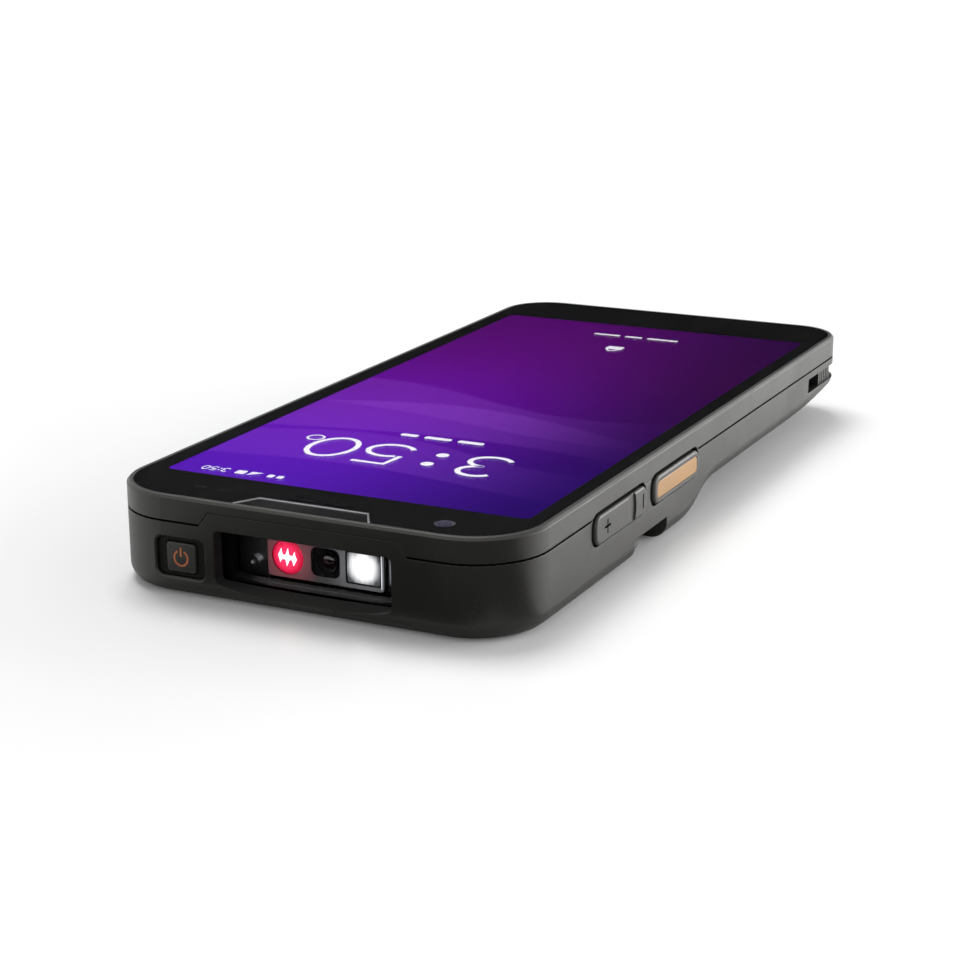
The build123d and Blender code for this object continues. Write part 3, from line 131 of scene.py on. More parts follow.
def calculate(tree, operation, *values, clamp=False):
    """The result of one Math node."""
    made = add_node(tree, "Math", dict(enumerate(values)), operation=operation, use_clamp=clamp)
    return made.outputs[0]


def blend_colours(tree, share, first, second):
    """A colour between two colours; share is 0 for the first and 1 for the second."""
    made = add_node(tree, "Mix", {0: share, 6: first, 7: second}, data_type="RGBA")
    return made.outputs[2]


def step_between(tree, value, low, high):
    """0 where the value is under low, 1 over high, and a smooth step between."""
    made = add_node(tree, "MapRange", {"Value": value, "From Min": low, "From Max": high},
                    interpolation_type="SMOOTHSTEP")
    return made.outputs[0]


def new_material(name):
    """An empty material: itself, its node tree and its shader."""
    material = bpy.data.materials.new(name)
    material.use_nodes = True
    return material, material.node_tree, material.node_tree.nodes["Principled BSDF"]


print("node helpers ready")

# %% [markdown]
# ## Effects that several finishes share
#
# A node group is a small tool that can be placed in any material with its own numbers. Three are enough here.
# Moulded grain is the fine texture that a steel mould leaves on plastic. Edge wear finds edges with a Bevel
# node: where the rounded normal leaves the flat one, there is an edge, and it is polished by hands; on the
# power key the same brightened edge is a painted highlight. Fine dust settles on faces that look up. Each
# puts out only masks, heights and normals, so the shader itself stays in the material.

# %% Build the shared effect groups
def new_effect(name, takes, gives):
    """An empty node group: itself, its input sockets and its output sockets."""
    tree = bpy.data.node_groups.new(name, "ShaderNodeTree")
    for label, value in takes.items():
        taken = tree.interface.new_socket(name=label, in_out="INPUT", socket_type="NodeSocketFloat")
        taken.default_value = value
    for label, kind in gives.items():
        tree.interface.new_socket(name=label, in_out="OUTPUT", socket_type="NodeSocket" + kind)
    return tree, tree.nodes.new("NodeGroupInput").outputs, tree.nodes.new("NodeGroupOutput").inputs


def object_place(tree):
    """Each point's place on the solid, in metres."""
    return add_node(tree, "TexCoord").outputs["Object"]


grain_effect, takes, gives = new_effect("moulded_grain", {"Scale": 5000.0, "Cloud Scale": 60.0},
                                        {"Height": "Float", "Cloud": "Float"})
place = object_place(grain_effect)
pebbles = add_node(grain_effect, "TexVoronoi", {"Vector": place, "Scale": takes["Scale"]},
                   feature="SMOOTH_F1")
fine = add_node(grain_effect, "TexNoise", {"Vector": place, "Scale": takes["Scale"], "Detail": 3.0})
both = calculate(grain_effect, "MULTIPLY_ADD", pebbles.outputs["Distance"], 0.6, fine.outputs["Fac"])
grain_effect.links.new(both, gives["Height"])
cloud = add_node(grain_effect, "TexNoise", {"Vector": place, "Scale": takes["Cloud Scale"], "Detail": 4.0})
grain_effect.links.new(step_between(grain_effect, cloud.outputs["Fac"], 0.3, 0.7), gives["Cloud"])

wear_and_highlight_effect, takes, gives = new_effect("edge_wear_and_highlight", {"Radius": 0.0002, "Patch Scale": 400.0},
                                       {"Mask": "Float", "Normal": "Vector"})
rounded = add_node(wear_and_highlight_effect, "Bevel", {"Radius": takes["Radius"]}, samples=4)
flat = add_node(wear_and_highlight_effect, "NewGeometry").outputs["Normal"]
agreement = add_node(wear_and_highlight_effect, "VectorMath", {0: rounded.outputs[0], 1: flat}, operation="DOT_PRODUCT")
turned = calculate(wear_and_highlight_effect, "SUBTRACT", 1.0, agreement.outputs["Value"])
edge = step_between(wear_and_highlight_effect, turned, 0.02, 0.22)
patches = add_node(wear_and_highlight_effect, "TexNoise", {"Vector": object_place(wear_and_highlight_effect),
                                             "Scale": takes["Patch Scale"], "Detail": 5.0})
patchy = step_between(wear_and_highlight_effect, patches.outputs["Fac"], 0.4, 0.62)
wear_and_highlight_effect.links.new(calculate(wear_and_highlight_effect, "MULTIPLY", edge, patchy), gives["Mask"])
wear_and_highlight_effect.links.new(rounded.outputs[0], gives["Normal"])

dust_effect, takes, gives = new_effect("fine_dust", {"Scale": 1800.0, "Amount": 0.3}, {"Mask": "Float"})
specks = add_node(dust_effect, "TexNoise", {"Vector": object_place(dust_effect), "Scale": takes["Scale"],
                                            "Detail": 6.0, "Roughness": 0.7})
bright = step_between(dust_effect, specks.outputs["Fac"], 0.62, 0.74)
facing = add_node(dust_effect, "SeparateXYZ", {0: add_node(dust_effect, "NewGeometry").outputs["Normal"]})
upward = calculate(dust_effect, "MULTIPLY_ADD", facing.outputs["Z"], 0.4, 0.6, clamp=True)
settled = calculate(dust_effect, "MULTIPLY", calculate(dust_effect, "MULTIPLY", bright, upward),
                    takes["Amount"])
dust_effect.links.new(settled, gives["Mask"])
print("effects:", grain_effect.name, wear_and_highlight_effect.name, dust_effect.name)

# %% [markdown]
# ## Finishes for the solid parts
#
# Most of the terminal is moulded plastic: the same polymer, with another grain, gloss and wear on each
# part. One function places the three effects in a material, and each finish gets its own numbers. The
# metals use the same function with Metallic set plainly on the shader. Real black plastic is a very dark
# grey, never zero, so that its shape can be read.

# %% Make the moulded and metal finishes
dust_colour = (0.32, 0.31, 0.3, 1)
warm_gloss = (1.0, 0.985, 0.925, 1)
grain_height = 0.02 * mm


def make_finish(name, colour, roughness, grain=5000.0, depth=0.25, worn=None, wear_and_highlight=0.3, dust=0.25,
                metallic=0.0, edge_radius=0.0002, ior=1.5, gloss=0.5):
    """A solid finish with grain, brightened edges and a little dust; the bright edges are wear, and on the
    power key a painted highlight.
    """
    material, tree, shader = new_material(name)
    grained = add_node(tree, "Group", {"Scale": grain}, node_tree=grain_effect)
    worn_and_highlit_edge = add_node(tree, "Group", {"Radius": edge_radius}, node_tree=wear_and_highlight_effect)
    dusty = add_node(tree, "Group", {"Amount": dust}, node_tree=dust_effect)
    full = (*colour, 1)
    darker = (*(part * 0.86 for part in colour), 1)
    bright = (*(worn or [min(1, part * 1.7 + 0.01) for part in colour]), 1)
    moulded = blend_colours(tree, grained.outputs["Cloud"], darker, full)
    # Edges are brightened: wear on most parts, and a painted highlight where the amount is high, as on the
    # power key.
    share = calculate(tree, "MULTIPLY", worn_and_highlit_edge.outputs["Mask"], wear_and_highlight)
    rubbed_and_highlit = blend_colours(tree, share, moulded, bright)
    powdered = blend_colours(tree, dusty.outputs["Mask"], rubbed_and_highlit, dust_colour)
    clouded = calculate(tree, "MULTIPLY_ADD", grained.outputs["Cloud"], 0.08, roughness - 0.04)
    polished = calculate(tree, "MULTIPLY_ADD", share, -0.12, clouded)
    dulled = calculate(tree, "MULTIPLY_ADD", dusty.outputs["Mask"], 0.3, polished, clamp=True)
    bump = add_node(tree, "Bump", {"Height": grained.outputs["Height"], "Strength": depth,
                                   "Distance": grain_height, "Normal": worn_and_highlit_edge.outputs["Normal"]})
    fill(tree, shader, {"Base Color": powdered, "Roughness": dulled, "Normal": bump.outputs[0],
                        "Metallic": metallic, "IOR": ior, "Specular IOR Level": gloss})
    if not metallic:
        shader.inputs["Specular Tint"].default_value = warm_gloss
    return material


recipes = {
    "housing_plastic": ((0.0112, 0.011, 0.0098), 0.4, dict(grain=6500, depth=0.5)),
    "frame_plastic": ((0.0155, 0.0152, 0.014), 0.36, dict(grain=8000, depth=0.35, wear_and_highlight=0.45)),
    "key_plastic": ((0.0245, 0.0242, 0.023), 0.38, dict(grain=8000, depth=0.3)),
    "orange_plastic": ((0.46, 0.24, 0.078), 0.42, dict(grain=7000, depth=0.3, dust=0.05)),
    "seal_rubber": ((0.004, 0.004, 0.004), 0.62, dict(grain=3500, depth=0.6, wear_and_highlight=0.1, dust=0.1, gloss=0.2)),
    "black_plastic": ((0.009, 0.009, 0.0095), 0.45, dict(wear_and_highlight=0.2, dust=0.1)),
    "faceplate_metal": ((0.24, 0.235, 0.24), 0.42,
                        dict(grain=9000, depth=0.5, metallic=0.6, dust=0.15, edge_radius=0.0001)),
    "magnesium": ((0.5, 0.51, 0.52), 0.5, dict(grain=3000, depth=0.7, metallic=1.0, worn=(0.75, 0.76, 0.77))),
    "steel": ((0.56, 0.56, 0.57), 0.28,
              dict(grain=9000, depth=0.15, metallic=1.0, worn=(0.8, 0.8, 0.8), edge_radius=0.00012)),
    "gold": ((0.83, 0.6, 0.24), 0.25, dict(grain=9000, depth=0.15, metallic=1.0, worn=(0.9, 0.75, 0.45))),
    "circuit_board": ((0.015, 0.11, 0.06), 0.35, dict(grain=4000, depth=0.3)),
    "flex_film": ((0.34, 0.15, 0.03), 0.3, dict(grain=6000, depth=0.2)),
    "chip_plastic": ((0.022, 0.022, 0.024), 0.5, dict(grain=7000, depth=0.4)),
    "battery_wrap": ((0.07, 0.07, 0.078), 0.32, dict(grain=3000, depth=0.25)),
    "woven_mesh": ((0.016, 0.016, 0.017), 0.45, dict(metallic=0.5, grain=9000, depth=1.0)),
}
finishes = {name: make_finish(name, colour, roughness, **extra)
            for name, (colour, roughness, extra) in recipes.items()}
print(len(finishes), "solid finishes")

# %% [markdown]
# ## Glass and lenses
#
# Clear parts let light through, so they use the shader's Transmission with plain numbers. The cover glass
# is a true pane: the picture and the black printed border lie under it, and its gloss comes from its own
# surface. Glass tinted with a colour stands for coated lenses.

# %% Make the clear finishes
def make_glass(name, colour, ior=1.5, haze=0.02):
    """A clear finish whose surface has faint smears."""
    material, tree, shader = new_material(name)
    smears = add_node(tree, "TexNoise", {"Vector": object_place(tree), "Scale": 90.0, "Detail": 5.0,
                                         "Distortion": 1.5})
    smeared = step_between(tree, smears.outputs["Fac"], 0.45, 0.8)
    hazed = calculate(tree, "MULTIPLY", smeared, haze)
    dusty = add_node(tree, "Group", {"Amount": 0.03}, node_tree=dust_effect)
    powdered = blend_colours(tree, dusty.outputs["Mask"], (*colour, 1), (0.6, 0.6, 0.6, 1))
    fill(tree, shader, {"Roughness": hazed, "Base Color": powdered, "Transmission Weight": 1.0, "IOR": ior})
    return material


finishes["black_glass"] = make_glass("cover_glass", (0.96, 0.97, 0.97))
finishes["clear_window"] = make_glass("clear_window", (0.95, 0.96, 0.97), ior=1.45)
finishes["lens_glass"] = make_glass("lens_glass", (0.5, 0.42, 0.62), ior=1.6, haze=0.0)
print("clear finishes:", finishes["black_glass"].name, finishes["clear_window"].name)

# %% [markdown]
# ## Lights that are switched on
#
# The scan engine is working: its aimer glows red, and its illumination light is a white point behind a
# square lens. Each is an emission that falls off from a centre. The distance from that centre is worked
# out from the point's own place on the solid, so the glow stays put when the view changes.

# %% Make the glowing finishes
def distance_from(tree, centre, stretch):
    """How far a point is from a centre in mm, each axis weighed by stretch."""
    shifted = add_node(tree, "VectorMath", {0: object_place(tree), 1: Vector(centre) * mm},
                       operation="SUBTRACT")
    weighed = add_node(tree, "VectorMath", {0: shifted.outputs[0], 1: Vector(stretch) / mm},
                       operation="MULTIPLY")
    return add_node(tree, "VectorMath", {0: weighed.outputs[0]}, operation="LENGTH").outputs["Value"]


def make_glow(name, centre, core, rim, reach, strength, stretch=(1, 0, 1), base=(0.1, 0.1, 0.1)):
    """A lit finish: the core colour in the middle fades to the rim colour at reach."""
    material, tree, shader = new_material(name)
    away = distance_from(tree, centre, stretch)
    streaky = add_node(tree, "VectorMath", {0: object_place(tree), 1: (2.6, 1.0, 0.8)}, operation="MULTIPLY")
    ripple = add_node(tree, "TexNoise", {"Vector": streaky.outputs[0], "Scale": 620.0, "Detail": 3.0})
    nearer = calculate(tree, "SUBTRACT", away, 0.45)
    rippled = calculate(tree, "MULTIPLY_ADD", ripple.outputs["Fac"], 0.9, nearer)
    fade = step_between(tree, rippled, *reach)
    lit = blend_colours(tree, fade, (*core, 1), (*rim, 1))
    fill(tree, shader, {"Emission Color": lit, "Emission Strength": strength, "Base Color": (*base, 1),
                        "Roughness": 0.25})
    return material


def middle_of(node):
    """The middle of a solid piece, in mm."""
    low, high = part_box(node)
    return (low + high) / 2 / mm


aimer_middle = middle_of("aimer_lens")
light_middle = middle_of("illumination_lens") + Vector((0.1, 0, 0.25))
finishes["red_lens"] = make_glow("red_lens", aimer_middle, (1.0, 0.035, 0.12), (0.42, 0.004, 0.03),
                                 (1.2, 3.1), 1.3, base=(0.3, 0.01, 0.03))
finishes["white_lens"] = make_glow("white_lens", light_middle, (1.0, 1.0, 1.0), (0.015, 0.016, 0.016),
                                   (1.2, 3.5), 1.5, base=(0.3, 0.3, 0.31))
print("the aimer is at", [round(value, 1) for value in aimer_middle])

# %% [markdown]
# ## Light that spills on the faceplate
#
# The metal plate round the lenses is lit by them, pink beside the aimer and white beside the light. Light
# that bounces about in the window is slow to render well, so the plate gets it as a weak emission that
# fades with the distance from each lamp. The colours are those of the lamps, far darker.

# %% Let the faceplate catch the light
tree = finishes["faceplate_metal"].node_tree
shader = tree.nodes["Principled BSDF"]
pink_share = step_between(tree, distance_from(tree, aimer_middle, (1, 0, 1)), 7.0, 2.6)
white_share = step_between(tree, distance_from(tree, light_middle, (1, 0, 1)), 8.5, 3.0)
spilled_pink = blend_colours(tree, pink_share, (0.012, 0.012, 0.012, 1), (0.16, 0.035, 0.045, 1))
white_share = calculate(tree, "MULTIPLY", white_share, 0.75)
spilled = blend_colours(tree, white_share, spilled_pink, (0.13, 0.13, 0.135, 1))
plate_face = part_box("engine_faceplate")[1].y
on_face = step_between(tree, add_node(tree, "SeparateXYZ", {0: object_place(tree)}).outputs["Y"],
                       plate_face - 0.00008, plate_face - 0.00002)
spilled = blend_colours(tree, on_face, (0, 0, 0, 1), spilled)
fill(tree, shader, {"Emission Color": spilled, "Emission Strength": 1.0})
print("spilled light on", finishes["faceplate_metal"].name)

# %% [markdown]
# ## A dark tunnel in the housing
#
# The housing is one moulding, and the funnel before its scan window lies deep in shade. That shade is painted
# into the housing's material: a mask is worked out from the point's own place, and inside it the colour is
# almost black and the surface rougher.

# %% Darken the funnel of the scan window
window_low, window_high = (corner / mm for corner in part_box("scan_window"))
# The funnel's painted shade ends at these places, in mm.
funnel_half, funnel_mouth, funnel_floor = 20.0, 82.5, 1.9  # where the dark texture ends, in mm


def funnel_shade_mask(tree):
    """1 in the funnel before the scan window, 0 elsewhere."""
    spot = add_node(tree, "SeparateXYZ", {0: object_place(tree)})
    off_middle = calculate(tree, "SUBTRACT", spot.outputs["X"], (window_low.x + window_high.x) / 2 * mm)
    narrow = step_between(tree, calculate(tree, "ABSOLUTE", off_middle), (funnel_half + 0.5) * mm,
                          funnel_half * mm)
    behind_face = step_between(tree, spot.outputs["Y"], (funnel_mouth + 0.15) * mm, funnel_mouth * mm)
    engine_end = (window_low.y - 3.0) * mm
    before_engine = step_between(tree, spot.outputs["Y"], engine_end, engine_end + 0.5 * mm)
    above_edge = step_between(tree, spot.outputs["Z"], (funnel_floor - 0.4) * mm, funnel_floor * mm)
    along = calculate(tree, "MULTIPLY", behind_face, before_engine)
    return calculate(tree, "MULTIPLY", calculate(tree, "MULTIPLY", narrow, along), above_edge)


tree = finishes["housing_plastic"].node_tree
shader = tree.nodes["Principled BSDF"]
funnel = funnel_shade_mask(tree)
usual_colour = shader.inputs["Base Color"].links[0].from_socket
usual_roughness = shader.inputs["Roughness"].links[0].from_socket
# Painted shade: inside the funnel the colour goes almost black.
funnel_shaded_colour = blend_colours(tree, funnel, usual_colour, (0.002, 0.002, 0.0026, 1))
roughened = calculate(tree, "MAXIMUM", usual_roughness, calculate(tree, "MULTIPLY", funnel, 0.75))
fill(tree, shader, {"Base Color": funnel_shaded_colour, "Roughness": roughened})
print("funnel from", round(window_low.x, 1), "to", round(window_high.x, 1))

# %% [markdown]
# ## Give every solid its finish
#
# The model's own record says which material slot each solid belongs to, so the finishes are handed out
# from that list. A few solids differ from the rest of their slot and are named one by one.

# %% Hand the finishes out
unlit_white = make_finish("unlit_white_lens", (0.7, 0.71, 0.72), 0.25, grain=2500, depth=0.6)
slot_of = {part["node"]: part["material_slot"] for part in frame["record"]["subparts"]}
finishes["display"] = finishes["magnesium"]
# The window's baffle and seal get a near-black colour: painted shade for the deep recess behind the window.
baffle_shade_black = make_finish("baffle_painted_shade", (0.003, 0.003, 0.0034), 0.8, grain=6000, depth=0.8, wear_and_highlight=0.0, dust=0.05,
                    gloss=0.1)
own_finishes = {
    "flash_lens": unlit_white,
    "window_baffle": baffle_shade_black,
    "window_seal": baffle_shade_black,
    # The power key's strongly brightened edges are a painted highlight along its proud edges.
    "power_button": make_finish("power_key_plastic", (0.042, 0.042, 0.04), 0.34, grain=8000, depth=0.3,
                                wear_and_highlight=0.8),
    "strap_pins": make_finish("dark_steel", (0.12, 0.12, 0.12), 0.35, metallic=1.0, grain=9000, depth=0.1),
}
for name, solid in solids.items():
    finish = own_finishes.get(name) or finishes[slot_of[name]]
    for place_holder in solid.material_slots:
        place_holder.material = finish
print("finished", len(solids), "solids in", len(set(slot_of.values())), "slots")

# %% [markdown]
# ## Cut shapes from flat outlines
#
# Many small pieces are flat: printed borders, marks, digits, plates. They are all made alike. Their
# outlines are filled, with holes where an outline lies in another, and the sheet is given a thickness.
# Outlines are lists of points in millimetres, so they can be read against a drawing.

# %% Outline and plate helpers
def rounded_box(low, high, radius, steps=8):
    """The outline of a rectangle with round corners. Radius may be one value, or one for each corner."""
    radii = radius if isinstance(radius, tuple) else (radius,) * 4
    corners = [(high[0], high[1], 0), (low[0], high[1], 90), (low[0], low[1], 180), (high[0], low[1], 270)]
    points = []
    for (x, y, start), size in zip(corners, radii):
        inward_x, inward_y = (-1 if x == high[0] else 1, -1 if y == high[1] else 1)
        for step in range(steps + 1):
            angle = math.radians(start + 90 * step / steps)
            points.append((x + inward_x * size + size * math.cos(angle),
                           y + inward_y * size + size * math.sin(angle)))
    return points


def arc(centre, radius, start, end, steps=16):
    """Points round an ellipse, from one angle to another in degrees."""
    angles = [math.radians(start + (end - start) * step / steps) for step in range(steps + 1)]
    return [(centre[0] + radius[0] * math.cos(angle), centre[1] + radius[1] * math.sin(angle))
            for angle in angles]


def circle(x, y, radius, steps=32):
    """A round outline."""
    return arc((x, y), (radius, radius), 0, 360 * (steps - 1) / steps, steps - 1)


def stroke(points, width, closed=False):
    """The outlines of a line of some width: one for an open line, two for a closed one."""
    count = len(points)
    sides = ([], [])
    for index, (x, y) in enumerate(points):
        before = points[index - 1] if closed or index else points[index]
        after = points[(index + 1) % count] if closed or index < count - 1 else points[index]
        along = Vector((after[0] - before[0], after[1] - before[1])).normalized()
        sides[0].append((x - along.y * width / 2, y + along.x * width / 2))
        sides[1].append((x + along.y * width / 2, y - along.x * width / 2))
    return [sides[0], sides[1]] if closed else [sides[0] + sides[1][::-1]]


def lay(axis, u, v, w):
    """A point from two values in a plate's plane and one across it, in mm."""
    return Vector({"X": (w, u, v), "Y": (u, w, v), "Z": (u, v, w)}[axis]) * mm


def make_plate(name, outlines, low, high, axis="Z", body="terminal", slot=None, material=None, soften=0.0):
    """A flat piece between two levels along an axis, riding on a body."""
    shape = bmesh.new()
    for outline in outlines:
        corners = [shape.verts.new(lay(axis, u, v, low)) for u, v in outline]
        for first, second in zip(corners, corners[1:] + corners[:1]):
            shape.edges.new((first, second))
    bmesh.ops.triangle_fill(shape, edges=shape.edges[:], use_beauty=True)
    raised = bmesh.ops.extrude_face_region(shape, geom=shape.faces[:])["geom"]
    lifted = [item for item in raised if isinstance(item, bmesh.types.BMVert)]
    bmesh.ops.translate(shape, vec=lay(axis, 0, 0, high - low), verts=lifted)
    bmesh.ops.recalc_face_normals(shape, faces=shape.faces[:])
    return finish_piece(name, shape, body, slot, material, soften)


def finish_piece(name, shape, body="terminal", slot=None, material=None, soften=0.0):
    """Turns a built shape into an object that rides on a body and has a finish."""
    mesh = bpy.data.meshes.new(name)
    shape.to_mesh(mesh)
    shape.free()
    piece = bpy.data.objects.new(name, mesh)
    scene.collection.objects.link(piece)
    mesh.materials.append(material or finishes[slot])
    if soften:
        bevel = piece.modifiers.new("softened_edges", "BEVEL")
        bevel.width = soften * mm
        bevel.segments = 3
        bevel.limit_method = "ANGLE"
        bevel.angle_limit = math.radians(40)
        bevel.harden_normals = True
    mesh.shade_smooth()
    mesh.set_sharp_from_angle(angle=math.radians(35))
    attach(piece, body)
    return piece


print("a rounded box has", len(rounded_box((0, 0), (4, 3), 1)), "points")

# %% [markdown]
# ## The lit picture
#
# A phone screen is a bright sheet under the glass. Its wallpaper here is a plain colour flow with three
# broad see-through waves, from blue-violet at the scan head to magenta at the far end. It is worked out
# from each point's place: two colour ramps run along the screen, one for each side, and the waves are
# smooth steps across sine curves.

# %% Paint the wallpaper
screen_low, screen_high = (-33.8, -66.8), (33.8, 68.8)
glass_low, glass_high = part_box("cover_glass")
screen_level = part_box("display_panel")[1].z / mm - 0.1
flow_stops = (0.0, 0.3, 0.62, 0.84, 1.0)


def colour_flow(tree, along, colours):
    """A smooth colour ramp with one colour at each of the stops."""
    made = add_node(tree, "ValToRGB", {"Fac": along})
    ramp = made.color_ramp
    ramp.interpolation = "B_SPLINE"
    for stop in flow_stops[2:]:
        ramp.elements.new(stop)
    for element, stop, colour in zip(ramp.elements, flow_stops, colours):
        element.position = stop
        element.color = (*colour, 1)
    return made.outputs["Color"]


def wave_mask(tree, u, v, level, swing, turns, shift):
    """1 on the head side of a sine wave across the screen, 0 on the other."""
    swung = calculate(tree, "SINE", calculate(tree, "MULTIPLY_ADD", u, turns, shift))
    height = calculate(tree, "MULTIPLY_ADD", swung, swing, level)
    return step_between(tree, calculate(tree, "SUBTRACT", v, height), -0.003, 0.003)


screen_glow, tree, shader = new_material("screen_picture")
spot = add_node(tree, "SeparateXYZ", {0: object_place(tree)})
u, v = (calculate(tree, "MULTIPLY_ADD", spot.outputs[axis], 1 / (high - low) / mm, -low / (high - low))
        for axis, low, high in zip("XY", screen_low, screen_high))
right_side = colour_flow(tree, v, ((0.1, 0.002, 0.17), (0.13, 0.003, 0.22), (0.17, 0.006, 0.48),
                                   (0.13, 0.01, 0.56), (0.1, 0.012, 0.5)))
left_side = colour_flow(tree, v, ((0.028, 0.002, 0.06), (0.045, 0.002, 0.062), (0.03, 0.002, 0.08),
                                  (0.024, 0.002, 0.14), (0.018, 0.002, 0.12)))
flow = blend_colours(tree, step_between(tree, u, -0.05, 0.85), left_side, right_side)
for level, swing, turns, shift, lift in ((0.52, 0.045, 4.6, 0.4, 0.1), (0.63, 0.06, 3.4, 2.7, 0.13),
                                         (0.78, 0.035, 5.2, 1.2, 0.1)):
    near_line = wave_mask(tree, u, v, level, swing, turns, shift)
    far_line = wave_mask(tree, u, v, level + 0.13, swing * 0.7, turns * 0.8, shift + 0.9)
    band = calculate(tree, "MULTIPLY", near_line, calculate(tree, "SUBTRACT", 1.0, far_line))
    band = calculate(tree, "MULTIPLY", band, step_between(tree, u, -0.1, 0.6))
    flow = blend_colours(tree, calculate(tree, "MULTIPLY", band, lift), flow, (0.5, 0.14, 0.95, 1))
fill(tree, shader, {"Emission Color": flow, "Emission Strength": 1.45,
                    "Base Color": (0.004, 0.004, 0.005, 1), "Specular IOR Level": 0.0})
make_plate("lit_screen", [rounded_box(screen_low, screen_high, 1.4)], screen_level, screen_level + 0.02,
           slot="display", material=screen_glow)
print("the picture is", screen_high[0] - screen_low[0], "by", screen_high[1] - screen_low[1], "mm")

# %% [markdown]
# ## The display module under the picture
#
# The solid display ends exactly at the glass, and two faces in one place would flicker. So a thinner module
# of black plastic with a soft edge takes its place, a tenth of a millimetre lower. The picture lies on it,
# and the border is printed above it.

# %% Build the display module
panel_low, panel_high = (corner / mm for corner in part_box("display_panel"))
tray = make_plate("display_module", [rounded_box(panel_low.xy, panel_high.xy, 1.5)], panel_low.z,
                  screen_level - 0.01, slot="black_plastic", soften=0.1)
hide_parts("display_panel")
print("display module", round(screen_level - panel_low.z, 2), "mm thick")

# %% [markdown]
# ## The printed border
#
# The glass is printed black on its inner side, so the print lies just in the pane. It leaves the screen
# free, and small round and oval windows for the front camera, the earpiece and the sensors. It is one flat
# sheet with holes.

# %% Print the black border
ink, tree, shader = new_material("black_ink")
clouds = add_node(tree, "TexNoise", {"Vector": object_place(tree), "Scale": 500.0, "Detail": 2.0})
inked = blend_colours(tree, clouds.outputs["Fac"], (0.0045, 0.0045, 0.005, 1), (0.007, 0.007, 0.0075, 1))
fill(tree, shader, {"Base Color": inked, "Roughness": 0.35, "Specular IOR Level": 0.15})
camera_spot = (-22.9, 76.2)
sensor_spots = ((22.6, 75.4), (17.9, 75.3))
dot_spots = ((13.2, 75.1), (11.9, 74.8))
border_level = glass_low.z / mm + 0.005
border_outer = rounded_box((glass_low.x / mm + 0.05, glass_low.y / mm + 0.05),
                           (glass_high.x / mm - 0.05, glass_high.y / mm - 0.05), (11.25, 11.25, 8.75, 8.75))
sensor_holes = [rounded_box((x - 1.1, y - 0.4), (x + 1.1, y + 0.4), 0.38) for x, y in sensor_spots]
sensor_holes += [circle(x, y, 0.3, 16) for x, y in dot_spots]
earpiece_hole = rounded_box((-5.25, 74.85), (5.25, 75.95), 0.5)
border_holes = [rounded_box(screen_low, screen_high, 1.3), circle(*camera_spot, 1.75), earpiece_hole,
                *sensor_holes]
make_plate("printed_border", [border_outer, *border_holes], border_level, border_level + 0.015,
           slot="black_glass", material=ink)
print("the border has", len(border_holes), "openings")

# %% [markdown]
# ## Digits and signs on the screen
#
# The clock's numerals are thin strokes, so each is a line with a width. Curved parts are pieces of
# ellipses. The same small alphabet of digits serves the large clock and the small one in the corner.
# What would be words on a real screen is shown as plain neutral bars.

# %% Draw the clock and the status signs
def digit_lines(symbol, x, y, width, height):
    """The centre lines of a digit in a box whose lower left corner is x, y."""
    half_w, half_h, middle = width / 2, height / 2, x + width / 2
    if symbol == "0":
        return [(arc((middle, y + half_h), (half_w, half_h), 0, 345, 23), True)]
    if symbol == "3":
        upper = arc((middle, y + height * 0.76), (half_w * 0.88, height * 0.24), 150, -90, 14)
        lower = arc((middle, y + height * 0.26), (half_w, height * 0.26), 90, -150, 14)
        return [(upper, False), (lower, False)]
    if symbol == "5":
        hook = [(x + width * 0.92, y + height), (x + width * 0.16, y + height),
                (x + width * 0.1, y + height * 0.54)]
        bowl = arc((middle, y + height * 0.31), (half_w, height * 0.31), 125, -150, 16)
        return [(hook, False), (bowl, False)]
    return [(circle(middle, y + height * 0.22, 0.1 * height, 12), False),
            (circle(middle, y + height * 0.72, 0.1 * height, 12), False)]


def clock_outlines(places, y, height, width):
    """The outlines of a row of digits, from (digit, left edge, digit width)."""
    outlines = []
    for symbol, x, digit_width in places:
        for line, closed in digit_lines(symbol, x, y, digit_width, height):
            outlines += [line] if symbol == ":" else stroke(line, width, closed)
    return outlines


pixels, tree, shader = new_material("white_pixels")
flicker = add_node(tree, "TexNoise", {"Vector": object_place(tree), "Scale": 300.0})
nearly_white = blend_colours(tree, flicker.outputs["Fac"], (0.9, 0.84, 1.0, 1), (1.0, 0.97, 1.0, 1))
fill(tree, shader, {"Emission Color": nearly_white, "Emission Strength": 1.5,
                    "Base Color": (0.1, 0.1, 0.1, 1)})
sign_level = (screen_level + 0.025, screen_level + 0.04)
large_clock = clock_outlines((("3", -18.0, 7.4), (":", -6.6, 3.6), ("5", 0.6, 8.2), ("0", 11.0, 8.2)),
                             39.2, 11.6, 1.0)
make_plate("clock_digits", large_clock, *sign_level, slot="display", material=pixels)
small_clock = clock_outlines((("3", 23.6, 1.1), (":", 25.0, 0.6), ("5", 25.9, 1.1), ("0", 27.5, 1.1)),
                             64.3, 1.9, 0.26)
signs = [rounded_box((20.2, 64.3), (22.0, 66.2), 0.3), [(17.2, 64.3), (19.4, 64.3), (19.4, 66.3)],
         rounded_box((12.9, 64.5), (14.1, 65.9), 0.3), rounded_box((14.7, 64.5), (15.9, 65.9), 0.3)]
bar_rows = ((31.9, 33.3, 0.5, ((-8.2, -3.2), (-1.8, 3.4), (4.8, 8.2))),
            (-57.6, -56.5, 0.4, ((-9.5, -2.6), (-1.4, 2.4), (3.6, 9.5))))
signs += [rounded_box((left, bottom), (right, top), corner)
          for bottom, top, corner, spans in bar_rows for left, right in spans]
signs += stroke(circle(20.9, 40.9, 1.5, 24), 0.45, True)
signs += [rounded_box((-1.6, -47.4), (2.0, -44.9), 0.4), *stroke(arc((0.2, -44.9), (1.1, 1.5), 0, 180), 0.4)]
